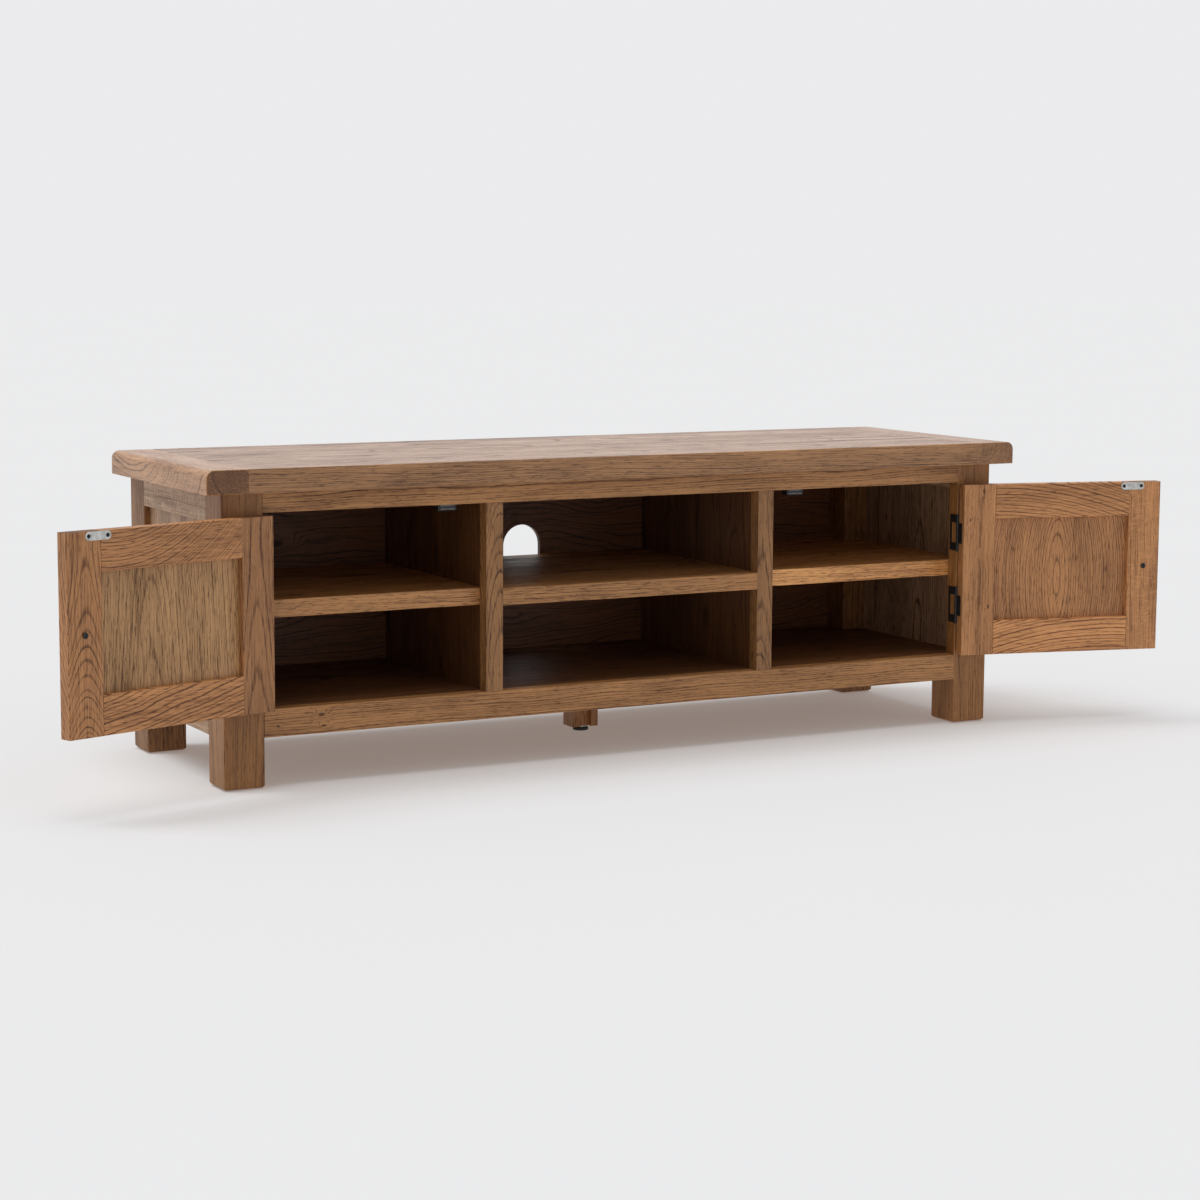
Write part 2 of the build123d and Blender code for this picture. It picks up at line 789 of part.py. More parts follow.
# ---- hinges -------------------------------------------------------------------------------
def make_hinge_leaf(side, centre, leaf_x, width, spans, window):
    """Plate with its knuckles: spans are the knuckles' heights about the hinge's centre."""
    height = hinge_height if window else spans[0][1] - spans[0][0]
    low_z = centre - height / 2
    with BuildPart() as leaf:
        block(leaf_x, (hinge_pin_y, front_y + width), (low_z, low_z + height))
        if window:
            block(
                leaf_x,
                (hinge_pin_y - knuckle_radius, front_y + hinge_window_width),
                (centre - hinge_window_height / 2, centre + hinge_window_height / 2),
                Mode.SUBTRACT,
            )
        for low, high in spans:
            with BuildSketch(Plane.XY.offset(centre + low)):
                with Locations((side * hinge_pin_x, hinge_pin_y)):
                    Circle(knuckle_radius)
            extrude(amount=high - low)
        with Locations((side * hinge_pin_x, hinge_pin_y, centre)):
            Cylinder(hinge_pin_radius + fit_gap, hinge_height + 1, mode=Mode.SUBTRACT)
        for plane in leg_hinge_screws(side) if window else door_hinge_screws(side):
            wood_screw_hole(plane)
    return leaf.part


def make_leg_leaf(side, centre):
    """Outer leaf: fixed to the post, with a window that the door's leaf shuts into."""
    ends = hinge_height / 2
    gap = hinge_window_height / 2
    leaf_x = (side * leg_leaf_x, side * leg_inner_x)
    return make_hinge_leaf(side, centre, leaf_x, hinge_leaf_width, ((-ends, -gap), (gap, ends)), True)


def make_door_leaf(side, centre):
    """Inner leaf: fixed to the door's edge, with the middle knuckle."""
    half = hinge_window_height / 2 - knuckle_end_gap
    leaf_x = (side * door_hinge_x, side * door_leaf_x)
    width = hinge_window_width - hinge_leaf_end_gap
    return make_hinge_leaf(side, centre, leaf_x, width, ((-half, half),), False)


def make_hinge_pin(side, centre):
    """Pin through the knuckles of one hinge, with a small cap on each end."""
    with BuildPart() as pin:
        with Locations((side * hinge_pin_x, hinge_pin_y, centre)):
            Cylinder(hinge_pin_radius, hinge_height)
        for end in (-1, 1):
            cap_z = centre + end * (hinge_height + pin_cap_thickness) / 2
            with Locations((side * hinge_pin_x, hinge_pin_y, cap_z)):
                Cylinder(knuckle_radius, pin_cap_thickness)
        outer_rims = edges().filter_by(GeomType.CIRCLE).sort_by(Axis.Z)
        fillet([outer_rims[0], outer_rims[-1]], radius=pin_cap_thickness / 2)
    return pin.part


hinge_places = [(side, centre) for side in SIDES.values() for centre in hinge_heights]
keep(group(make_leg_leaf(side, centre) for side, centre in hinge_places), "hinge_leg_leaves")
keep(group(make_hinge_pin(side, centre) for side, centre in hinge_places), "hinge_pins")


# ---- magnetic catches ---------------------------------------------------------------------
catch_body_y = (catch_front_y + catch_pole_proud, catch_front_y + catch_pole_proud + catch_depth)
pole_y = (catch_front_y, catch_front_y + catch_pole_proud + catch_pole_depth)
lower_pole_z = (catch_low_z + catch_floor, catch_low_z + catch_floor + catch_pole_thickness)
upper_pole_z = tuple(z + catch_pole_spacing for z in lower_pole_z)


def make_catch_housing(side):
    """Moulded body screwed under the top rail, with a pocket for the magnet and its pole plates."""
    with BuildPart() as housing:
        with BuildSketch(Plane.XZ.offset(-catch_body_y[1])):
            with Locations((side * strike_x, (catch_low_z + opening_high_z) / 2)):
                Rectangle(catch_body_length, catch_height)
            with Locations((side * strike_x, opening_high_z - catch_ear_thickness / 2)):
                Rectangle(catch_length, catch_ear_thickness)
        extrude(amount=catch_depth)
        fillet(faces().sort_by(Axis.Z)[0].edges(), radius=catch_easing)
        block(
            (side * strike_x - catch_pole_length / 2, side * strike_x + catch_pole_length / 2),
            (pole_y[0], pole_y[1]),
            (lower_pole_z[0], upper_pole_z[1]),
            Mode.SUBTRACT,
        )
        for plane in catch_screws:
            wood_screw_hole(plane)
    return housing.part


def make_catch_plate(side, y, z):
    """One flat plate or magnet inside a catch."""
    with BuildPart() as plate:
        block((side * strike_x - catch_pole_length / 2, side * strike_x + catch_pole_length / 2), y, z)
    return plate.part


catch_sides = list(SIDES.values())
keep(group(make_catch_housing(side) for side in catch_sides), "catch_housings")
keep(
    group(make_catch_plate(side, pole_y, z) for side in catch_sides for z in (lower_pole_z, upper_pole_z)),
    "catch_poles",
)
magnet_y = (catch_body_y[0] + catch_magnet_setback, pole_y[1])
magnet_z = (lower_pole_z[1], upper_pole_z[0])
keep(group(make_catch_plate(side, magnet_y, magnet_z) for side in catch_sides), "catch_magnets")


# ---- doors: drawn shut, then swung open about their hinge pins to where they rest -----------
groove_depth = panel_tongue + groove_bottom_gap
rail_span_x = (door_free_x + stile_width, door_hinge_x - stile_width)
bottom_rail_edge_z = door_low_z + door_rail_height
top_rail_edge_z = door_high_z - door_rail_height
tenon_spans_z = (
    (bottom_rail_edge_z - groove_depth - door_tenon_height, bottom_rail_edge_z - groove_depth),
    (top_rail_edge_z + groove_depth, top_rail_edge_z + groove_depth + door_tenon_height),
)


def brad_holes(side):
    """Cut the holes for the brads that cross the part being built."""
    for x, y, z in brad_places(side):
        with Locations(Location((x, y - brad_length / 2, z), (90, 0, 0))):
            Cylinder(brad_radius + fit_gap, brad_length + 0.5, mode=Mode.SUBTRACT)


def door_screw_holes(side):
    """Cut the holes for the hinge and strike plate screws that cross the part being built."""
    for plane in door_hinge_screws(side) + strike_screws(side):
        wood_screw_hole(plane)


def make_stile(side, edge_x, joint_x):
    """Upright of a door, grooved and mortised along the edge that faces the panel."""
    into = 1 if joint_x < edge_x else -1
    mouth_x = side * (joint_x - into)
    with BuildPart() as stile:
        block((side * edge_x, side * joint_x), (front_y, door_back_y), (door_low_z, door_high_z))
        ease(Axis.Z)
        block(
            (mouth_x, side * (joint_x + into * groove_depth)),
            door_panel_y,
            (bottom_rail_edge_z - groove_depth, top_rail_edge_z + groove_depth),
            Mode.SUBTRACT,
        )
        for span in tenon_spans_z:
            mortise_end_x = side * (joint_x + into * (door_tenon_length + groove_bottom_gap))
            block((mouth_x, mortise_end_x), door_panel_y, span, Mode.SUBTRACT)
        brad_holes(side)
        door_screw_holes(side)
        with Locations(Location((side * knob_x, door_back_y, opening_middle_z), (90, 0, 0))):
            Cylinder(knob_bolt_radius + fit_gap, 3 * door_thickness, mode=Mode.SUBTRACT)
    return stile.part


def make_door_rail(side, z, tenon_z, groove_z):
    """Cross rail of a door, tenoned into both stiles."""
    free_x, hinge_x = rail_span_x
    with BuildPart() as rail:
        block((side * free_x, side * hinge_x), (front_y, door_back_y), z)
        ease(Axis.X)
        reach = (side * (free_x - door_tenon_length), side * (hinge_x + door_tenon_length))
        block(reach, door_panel_y, tenon_z)
        block((side * free_x, side * hinge_x), door_panel_y, groove_z, Mode.SUBTRACT)
        brad_holes(side)
        door_screw_holes(side)
    return rail.part


def make_door_panel(side):
    """Thin panel that floats in the grooves of the door's frame."""
    free_x, hinge_x = rail_span_x
    with BuildPart() as panel:
        block(
            (side * (free_x - panel_tongue), side * (hinge_x + panel_tongue)),
            door_panel_y,
            (bottom_rail_edge_z - panel_tongue, top_rail_edge_z + panel_tongue),
        )
    return panel.part


def make_knob(side):
    """Turned knob on the door's outer face, tapped for its bolt."""
    axis_point = (side * knob_x, front_y, opening_middle_z)
    turning_plane = Plane(axis_point, x_dir=(1, 0, 0), z_dir=(0, 0, 1))
    base_end = (knob_base_radius, -knob_base_thickness)
    rim_centre_x = knob_radius - knob_rim_radius
    rim_centre_y = -knob_length + knob_dome_height + knob_rim_radius
    rim_start = (rim_centre_x, rim_centre_y + knob_rim_radius)
    dome_radius = (rim_centre_x**2 + knob_dome_height**2) / (2 * knob_dome_height)
    dome_sag = dome_radius - (dome_radius**2 - (rim_centre_x / 2) ** 2) ** 0.5
    dome_middle = (rim_centre_x / 2, -knob_length + dome_sag)
    with BuildPart() as knob:
        with BuildSketch(turning_plane):
            with BuildLine():
                Polyline((0, 0), (knob_base_radius, 0), base_end)
                ThreePointArc(base_end, (knob_neck_radius, rim_centre_y / 3), rim_start)
                CenterArc((rim_centre_x, rim_centre_y), knob_rim_radius, 90, -180)
                ThreePointArc((rim_centre_x, knob_dome_height - knob_length), dome_middle, (0, -knob_length))
                Line((0, -knob_length), (0, 0))
            make_face()
        revolve(axis=Axis(axis_point, TOWARDS_FRONT))
        with Locations(looking(axis_point, (0, 1, 0)).location):
            Hole(knob_bolt_radius + fit_gap, depth=knob_bolt_grip + 1)
    return knob.part


def make_knob_bolt(side):
    """Slotted pan-head bolt that holds the knob from the door's inner face."""
    inner_face = looking((side * knob_x, door_back_y, opening_middle_z), (0, 1, 0))
    with BuildPart() as bolt:
        with BuildSketch(inner_face):
            Circle(bolt_head_radius)
        extrude(amount=bolt_head_height)
        fillet(edges().sort_by(Axis.Y)[-1], radius=bolt_head_height / 2)
        with BuildSketch(inner_face):
            Circle(knob_bolt_radius)
        extrude(amount=-door_thickness - knob_bolt_grip)
        with BuildSketch(inner_face.offset(bolt_head_height)):
            Rectangle(bolt_slot_width, 3 * bolt_head_radius)
        extrude(amount=-bolt_head_height / 2, mode=Mode.SUBTRACT)
    return bolt.part


def make_strike_plate(side):
    """Steel plate with round ends that the catch's magnet holds."""
    with BuildPart() as plate:
        with BuildSketch(looking((side * strike_x, door_back_y, strike_z), (0, 1, 0))):
            SlotOverall(strike_length, strike_height)
        extrude(amount=strike_thickness)
        for plane in strike_screws(side):
            wood_screw_hole(plane)
    return plate.part


def make_brads(side):
    """Thin nails through the door's tenons."""
    brads = []
    for x, y, z in brad_places(side):
        with BuildPart() as brad:
            with Locations(Location((x, y - brad_length / 2, z), (90, 0, 0))):
                Cylinder(brad_radius, brad_length)
        brads.append(brad.part)
    return brads


for side_name, side in SIDES.items():
    bottom_z = (door_low_z, bottom_rail_edge_z)
    top_z = (top_rail_edge_z, door_high_z)
    bottom_groove_z = (bottom_rail_edge_z - groove_depth, bottom_rail_edge_z + 1)
    top_groove_z = (top_rail_edge_z - 1, top_rail_edge_z + groove_depth)
    screws = [wood_screw(plane) for plane in door_hinge_screws(side) + strike_screws(side)]
    door_pieces = {
        "hinge_stile": make_stile(side, door_hinge_x, rail_span_x[1]),
        "latch_stile": make_stile(side, door_free_x, rail_span_x[0]),
        "top_rail": make_door_rail(side, top_z, tenon_spans_z[1], top_groove_z),
        "bottom_rail": make_door_rail(side, bottom_z, tenon_spans_z[0], bottom_groove_z),
        "panel": make_door_panel(side),
        "knob": make_knob(side),
        "knob_bolt": make_knob_bolt(side),
        "strike_plate": make_strike_plate(side),
        "hinge_leaves": group(make_door_leaf(side, centre) for centre in hinge_heights),
        "fixings": group(screws + make_brads(side)),
    }
    pin_axis = Axis((side * hinge_pin_x, hinge_pin_y, 0), (0, 0, side))
    for piece_name, piece in door_pieces.items():
        keep(piece.rotate(pin_axis, door_open_angle[side_name]), f"door_{side_name}_{piece_name}")
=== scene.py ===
import json
import math
from collections import namedtuple

import bpy
from bpy.props import FloatProperty, FloatVectorProperty, PointerProperty
from bpy.types import Operator, Panel, PropertyGroup
from mathutils import Matrix, Vector

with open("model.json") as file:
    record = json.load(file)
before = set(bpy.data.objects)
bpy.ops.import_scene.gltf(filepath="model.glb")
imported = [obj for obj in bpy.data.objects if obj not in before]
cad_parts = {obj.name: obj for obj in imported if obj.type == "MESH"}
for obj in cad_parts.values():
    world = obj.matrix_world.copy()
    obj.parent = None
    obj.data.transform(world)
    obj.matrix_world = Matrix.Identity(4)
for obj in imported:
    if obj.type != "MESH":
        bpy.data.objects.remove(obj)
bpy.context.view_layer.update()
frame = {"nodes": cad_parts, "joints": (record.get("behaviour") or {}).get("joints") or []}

bl_info = {
    "name": "Oak media cabinet finishes",
    "version": (1, 0, 0),
    "blender": (4, 5, 0),
    "location": "3D View > Sidebar > Cabinet",
    "description": "Finishes, lights and camera for a rustic oak media cabinet with two open doors",
    "category": "Object",
}

NODES = frame["nodes"]
MM = 0.001

RIGHT, BACK, UP = Vector((1, 0, 0)), Vector((0, 1, 0)), Vector((0, 0, 1))
LEFT, FRONT = -RIGHT, -BACK


# ---- colours --------------------------------------------------------------------------------
def linear(hex_colour):
    """Linear RGBA of an sRGB hex colour such as "8f6a48"."""
    channels = [int(hex_colour[i : i + 2], 16) / 255 for i in (0, 2, 4)]
    return (*[c / 12.92 if c <= 0.04045 else ((c + 0.055) / 1.055) ** 2.4 for c in channels], 1.0)


def colour_property(name, description, hex_colour):
    """A colour setting whose default is an sRGB hex colour."""
    return FloatVectorProperty(
        name=name,
        description=description,
        default=linear(hex_colour)[:3],
        subtype="COLOR",
        size=3,
        min=0.0,
        max=1.0,
    )


# ---- settings -------------------------------------------------------------------------------
class OakSettings(PropertyGroup):
    door: colour_property("Door oak", "Warm stained oak of the doors, but for the left one's panel", "b47d4d")
    panel: colour_property("Panel oak", "Yellower oak of the left door's panel", "b28759")
    front: colour_property("Front oak", "Oak of the front rails, mullions, shelves and foot block", "a97746")
    post: colour_property("Post oak", "Oak of the four corner posts", "926334")
    # The side stain's greyer tone is partly the oak's own and partly painted light: it is paler for the light
    # and sheen that fall on the left end.
    side: colour_property("Side oak", "Greyer oak of the framed ends", "b08d6d")
    top: colour_property("Top oak", "Oak of the top, bleached a little by light and cleaning", "a5774d")
    # The inside and back stains are darker than the outer oak as painted shade: they stand in for the deep shade
    # inside the bays.
    inside: colour_property("Inside oak", "Darker, unpolished oak of the boards inside and back rails", "653f20")
    back: colour_property("Back oak", "Knotty veneer of the back panel", "70421f")
    roughness: FloatProperty(
        name="Roughness", description="Roughness of the satin lacquer", default=0.42, min=0.0, max=1.0
    )
    pore_depth: FloatProperty(
        name="Pore depth",
        description="How deep the open pores are brushed out",
        default=0.00018,
        min=0.0,
        max=0.002,
        unit="LENGTH",
        precision=5,
    )


class HardwareSettings(PropertyGroup):
    blackened: colour_property("Blackened steel", "Hinges, small screws, brads and knob bolts", "0f0d0c")
    zinc: colour_property("Zinc plate", "Strike plates, top screws and foot insert", "c9cac6")
    bare: colour_property("Bare steel", "Poles of the catches", "6c6b68")
    bronzed: colour_property("Bronzed metal", "Turned knobs", "4a3524")
    plastic: colour_property("Black plastic", "Catch housings and glides", "121212")
    beech: colour_property("Beech", "Shelf dowels", "c8a276")


class StudioSettings(PropertyGroup):
    # The floor gives off warm light of its own. This is painted light: it lifts the shadow under the cabinet and
    # stands in for warm light bounced from the wood. The floor's bluish colour keeps the open floor neutral
    # under it.
    floor: colour_property("Floor", "Opal acrylic of the studio floor", "c5ccd0")
    painted_light_tint: colour_property("Shine", "Warm light that the floor gives off from beneath", "f0dacd")
    backdrop: colour_property("Backdrop", "What the camera sees behind the cabinet", "ebebed")
    painted_light_strength: FloatProperty(
        name="Glow",
        description="Strength of the light that the floor gives off itself",
        default=0.27,
        min=0.0,
    )
    fill: FloatProperty(
        name="Fill", description="Share of the backdrop that lights the room", default=0.48, min=0.0
    )
    overhead: FloatProperty(
        name="Overhead", description="Irradiance from the wide light overhead, in W/m2", default=1.48, min=0.0
    )
    window: FloatProperty(
        name="Window",
        description="Irradiance from the window behind on the left, in W/m2",
        default=0.78,
        min=0.0,
    )
    lens: FloatProperty(name="Lens", description="Focal length in millimetres", default=81.4, min=10.0)


# ---- materials and pieces -------------------------------------------------------------------
def add(tree, kind, inputs=None, output=0, **settings):
    """Add a node with its settings and links, and return one of its outputs, if it has any."""
    node = tree.nodes.new(kind)
    for name, value in settings.items():
        setattr(node, name, value)
    for socket, value in (inputs or {}).items():
        if isinstance(value, bpy.types.NodeSocket):
            tree.links.new(value, node.inputs[socket])
        else:
            node.inputs[socket].default_value = value
    return node.outputs[output] if node.outputs else None


def new_material(name):
    """An empty material and its node tree. A finish that is laid again starts from its old material."""
    material = bpy.data.materials.get(name) or bpy.data.materials.new(name)
    material.use_nodes = True
    material.node_tree.nodes.clear()
    return material, material.node_tree


def finish(tree, shader):
    """Link a shader to the material's output."""
    add(tree, "ShaderNodeOutputMaterial", {"Surface": shader})


def dress(node, material):
    """Give a CAD node one material all over."""
    slots = NODES[node].material_slots
    if not slots:
        NODES[node].data.materials.append(material)
    for slot in slots:
        slot.material = material


# ---- boards ---------------------------------------------------------------------------------
# A board is drawn as if sawn from a log: its rings are cylinders about the log's heart. In a board's
# own frame X runs along the grain, Z points out of its show face and Y lies across that face. Lengths
# are millimetres from the board's middle.
Board = namedtuple(
    "Board",
    "grain face stain heart tilt bow bow_at ring wave contrast pores fleck shade knots planks gloss end",
)

# How far each part of the pattern darkens the wood, where plain late wood is 0 and a stained pore is 1.
EARLY_WOOD_SHARE = 0.72
PORE_SHARE = 0.75
PLANK_SHARE = 0.14
KNOT_SHARE = 0.75
RAY_SHARE = -0.3

# Tones of the stain at each share of darkening, as parts of its own red, green and blue.
STAIN_TONES = (
    (0.0, (1.45, 1.45, 1.45)),
    (0.38, (1.0, 1.0, 1.0)),
    (0.68, (0.54, 0.48, 0.40)),
    (1.0, (0.22, 0.16, 0.11)),
)

# How far a plank may be moved along, across and deep in its log.
PLANK_SHIFT = (900.0, 0.0, 40.0)


def board(
    grain,
    face,
    stain,
    heart=(0, -60),
    tilt=0.02,
    bow=0.0,
    bow_at=0.0,
    ring=3.0,
    wave=10.0,
    contrast=0.5,
    pores=0.5,
    fleck=0.0,
    shade=1.0,
    knots=(),
    planks=0.0,
    gloss=0.0,
    end=0.5,
):
    """A board's facts: how it was cut from its log, and how it took its stain.

    grain and face are directions. heart is where the log's middle lies, across and deep. tilt is how
    fast the rings run out of the face along the grain, and bow how that changes from bow_at on. ring is
    the width of a year's growth, wave how far the grain wanders. contrast, pores and fleck are shares.
    shade makes the stain darker below 1 and paler above; on a few boards it is painted light and shade,
    standing in for the way the light falls on them. knots are (along, across, radius). planks is the
    width of the planks that a wide board is glued up from. gloss is how much smoother than the others its
    lacquer was rubbed. end is how much darker the sawn ends take their stain.
    """
    return Board(
        grain, face, stain, heart, tilt, bow, bow_at, ring, wave, contrast, pores, fleck, shade, knots,
        planks, gloss, end,
    )


def board_frame(node, grain, face):
    """The board's axes as a rotation, and the middle of its box along those axes."""
    turn = Matrix((grain, face.cross(grain), face)).transposed()
    points = [turn.transposed() @ vertex.co for vertex in NODES[node].data.vertices]
    low = Vector([min(p[i] for p in points) for i in range(3)])
    high = Vector([max(p[i] for p in points) for i in range(3)])
    return turn, turn @ ((low + high) / 2)


def wood_streaks(tree, point, lengths, offset, inputs):
    """Noise with streaks of the given lengths along, across and deep in the wood."""
    place = add(
        tree,
        "ShaderNodeVectorMath",
        {0: point, 1: [1 / length for length in lengths], 2: offset},
        operation="MULTIPLY_ADD",
    )
    return add(tree, "ShaderNodeTexNoise", {"Vector": place, "Scale": 1.0, **inputs})


def glued_planks(tree, point, width):
    """Where a point of a glued-up board lies in its own plank's log, and a random tone for the plank."""
    across = add(tree, "ShaderNodeSeparateXYZ", {0: point}, output=1)
    widths = add(tree, "ShaderNodeMath", {0: across, 1: width}, operation="DIVIDE")
    plank = add(tree, "ShaderNodeMath", {0: widths}, operation="FLOOR")
    shift = add(tree, "ShaderNodeTexWhiteNoise", {"W": plank}, output="Color", noise_dimensions="1D")
    moved = add(
        tree, "ShaderNodeVectorMath", {0: shift, 1: PLANK_SHIFT, 2: point}, operation="MULTIPLY_ADD"
    )
    middle = add(tree, "ShaderNodeMath", {0: plank, 1: 0.5}, operation="ADD")
    middle = add(tree, "ShaderNodeMath", {0: middle, 1: width}, operation="MULTIPLY")
    heart = add(tree, "ShaderNodeCombineXYZ", {1: middle})
    moved = add(tree, "ShaderNodeVectorMath", {0: moved, 1: heart}, operation="SUBTRACT")
    return moved, shift.node.outputs["Value"]


def ring_radius(tree, point, offset, facts):
    """How far from the heart the wood at a point grew.

    The grain wanders slowly over hundreds of millimetres, and jitters over tens.
    """
    slow = wood_streaks(tree, point, (190, 75, 75), offset, {"Detail": 1.5})
    jitter = wood_streaks(tree, point, (38, 8, 8), offset, {"Detail": 2.0})
    from_heart = add(
        tree, "ShaderNodeVectorMath", {0: point, 1: (facts.bow_at, *facts.heart)}, operation="SUBTRACT"
    )
    flat = add(tree, "ShaderNodeVectorMath", {0: from_heart, 1: (0.0, 1.0, 1.0)}, operation="MULTIPLY")
    radius = add(tree, "ShaderNodeVectorMath", {0: flat}, output="Value", operation="LENGTH")
    along = add(tree, "ShaderNodeSeparateXYZ", {0: from_heart})
    slope = add(tree, "ShaderNodeMath", {0: along, 1: facts.bow, 2: facts.tilt}, operation="MULTIPLY_ADD")
    radius = add(tree, "ShaderNodeMath", {0: along, 1: slope, 2: radius}, operation="MULTIPLY_ADD")
    radius = add(tree, "ShaderNodeMath", {0: slow, 1: facts.wave, 2: radius}, operation="MULTIPLY_ADD")
    return add(
        tree, "ShaderNodeMath", {0: jitter, 1: 0.28 * facts.ring, 2: radius}, operation="MULTIPLY_ADD"
    )


def add_knots(tree, point, radius, knots):
    """Push the rings round each knot. Returns the new radius, and how dark the knots' own hearts are."""
    dark = None
    for along_mm, across_mm, size in knots:
        away = add(
            tree, "ShaderNodeVectorMath", {0: point, 1: (along_mm, across_mm, 0.0)}, operation="SUBTRACT"
        )
        away = add(
            tree,
            "ShaderNodeVectorMath",
            {0: away, 1: (1 / (2.2 * size), 1 / size, 0.0)},
            operation="MULTIPLY",
        )
        distance = add(tree, "ShaderNodeVectorMath", {0: away}, output="Value", operation="LENGTH")
        push = add(
            tree,
            "ShaderNodeMapRange",
            {"Value": distance, "From Min": 0.2, "From Max": 3.5, "To Min": 2.6 * size, "To Max": 0.0},
            interpolation_type="SMOOTHSTEP",
        )
        radius = add(tree, "ShaderNodeMath", {0: radius, 1: push}, operation="ADD")
        heart = add(
            tree,
            "ShaderNodeMapRange",
            {"Value": distance, "From Min": 0.35, "From Max": 1.1, "To Min": 1.0, "To Max": 0.0},
            interpolation_type="SMOOTHSTEP",
        )
        dark = add(tree, "ShaderNodeMath", {0: dark, 1: heart}, operation="MAXIMUM") if dark else heart
    return radius, dark


def early_wood(tree, radius, ring):
    """The open-pored band that starts each year, weaker in bad years. Ring widths drift with the years."""
    years = add(tree, "ShaderNodeMath", {0: radius, 1: 1 / ring}, operation="MULTIPLY")
    drift = add(
        tree, "ShaderNodeTexNoise", {"W": years, "Scale": 0.31, "Detail": 1.0}, noise_dimensions="1D"
    )
    years = add(tree, "ShaderNodeMath", {0: drift, 1: 2.2, 2: years}, operation="MULTIPLY_ADD")
    season = add(tree, "ShaderNodeMath", {0: years}, operation="FRACT")
    band = add(
        tree,
        "ShaderNodeMapRange",
        {"Value": season, "From Min": 0.10, "From Max": 0.42, "To Min": 1.0, "To Max": 0.0},
        interpolation_type="SMOOTHSTEP",
    )
    onset = add(
        tree,
        "ShaderNodeMapRange",
        {"Value": season, "From Min": 0.0, "From Max": 0.12},
        interpolation_type="SMOOTHSTEP",
    )
    band = add(tree, "ShaderNodeMath", {0: band, 1: onset}, operation="MULTIPLY")
    strength = add(
        tree, "ShaderNodeTexNoise", {"W": years, "Scale": 0.83, "Detail": 0.0}, noise_dimensions="1D"
    )
    strength = add(
        tree,
        "ShaderNodeMapRange",
        {"Value": strength, "From Min": 0.3, "From Max": 0.7, "To Min": 0.35, "To Max": 1.0},
    )
    return add(tree, "ShaderNodeMath", {0: band, 1: strength}, operation="MULTIPLY")


def open_pores(tree, point, offset, early):
    """Dashes along the grain, crowded in early wood.

    Real pores are 0.3 mm wide. These are drawn 0.8 mm wide, so that they show from a few metres.
    """
    noise = wood_streaks(tree, point, (19, 1.5, 1.5), offset, {"Detail": 2.0, "Roughness": 0.6})
    threshold = add(tree, "ShaderNodeMapRange", {"Value": early, "To Min": 0.57, "To Max": 0.44})
    above = add(tree, "ShaderNodeMath", {0: noise, 1: threshold}, operation="SUBTRACT")
    return add(
        tree,
        "ShaderNodeMapRange",
        {"Value": above, "From Min": 0.0, "From Max": 0.06},
        interpolation_type="SMOOTHSTEP",
    )


def ray_flecks(tree, point, offset, share):
    """Rays are ribbons 20 mm tall that run out from the heart. Their cut edges are pale and glossy."""
    ray = wood_streaks(tree, point, (5.5, 19, 4), offset, {"Detail": 1.0, "Distortion": 0.9})
    return add(
        tree,
        "ShaderNodeMapRange",
        {"Value": ray, "From Min": 0.54, "From Max": 0.66, "To Max": RAY_SHARE * share},
        interpolation_type="SMOOTHSTEP",
    )


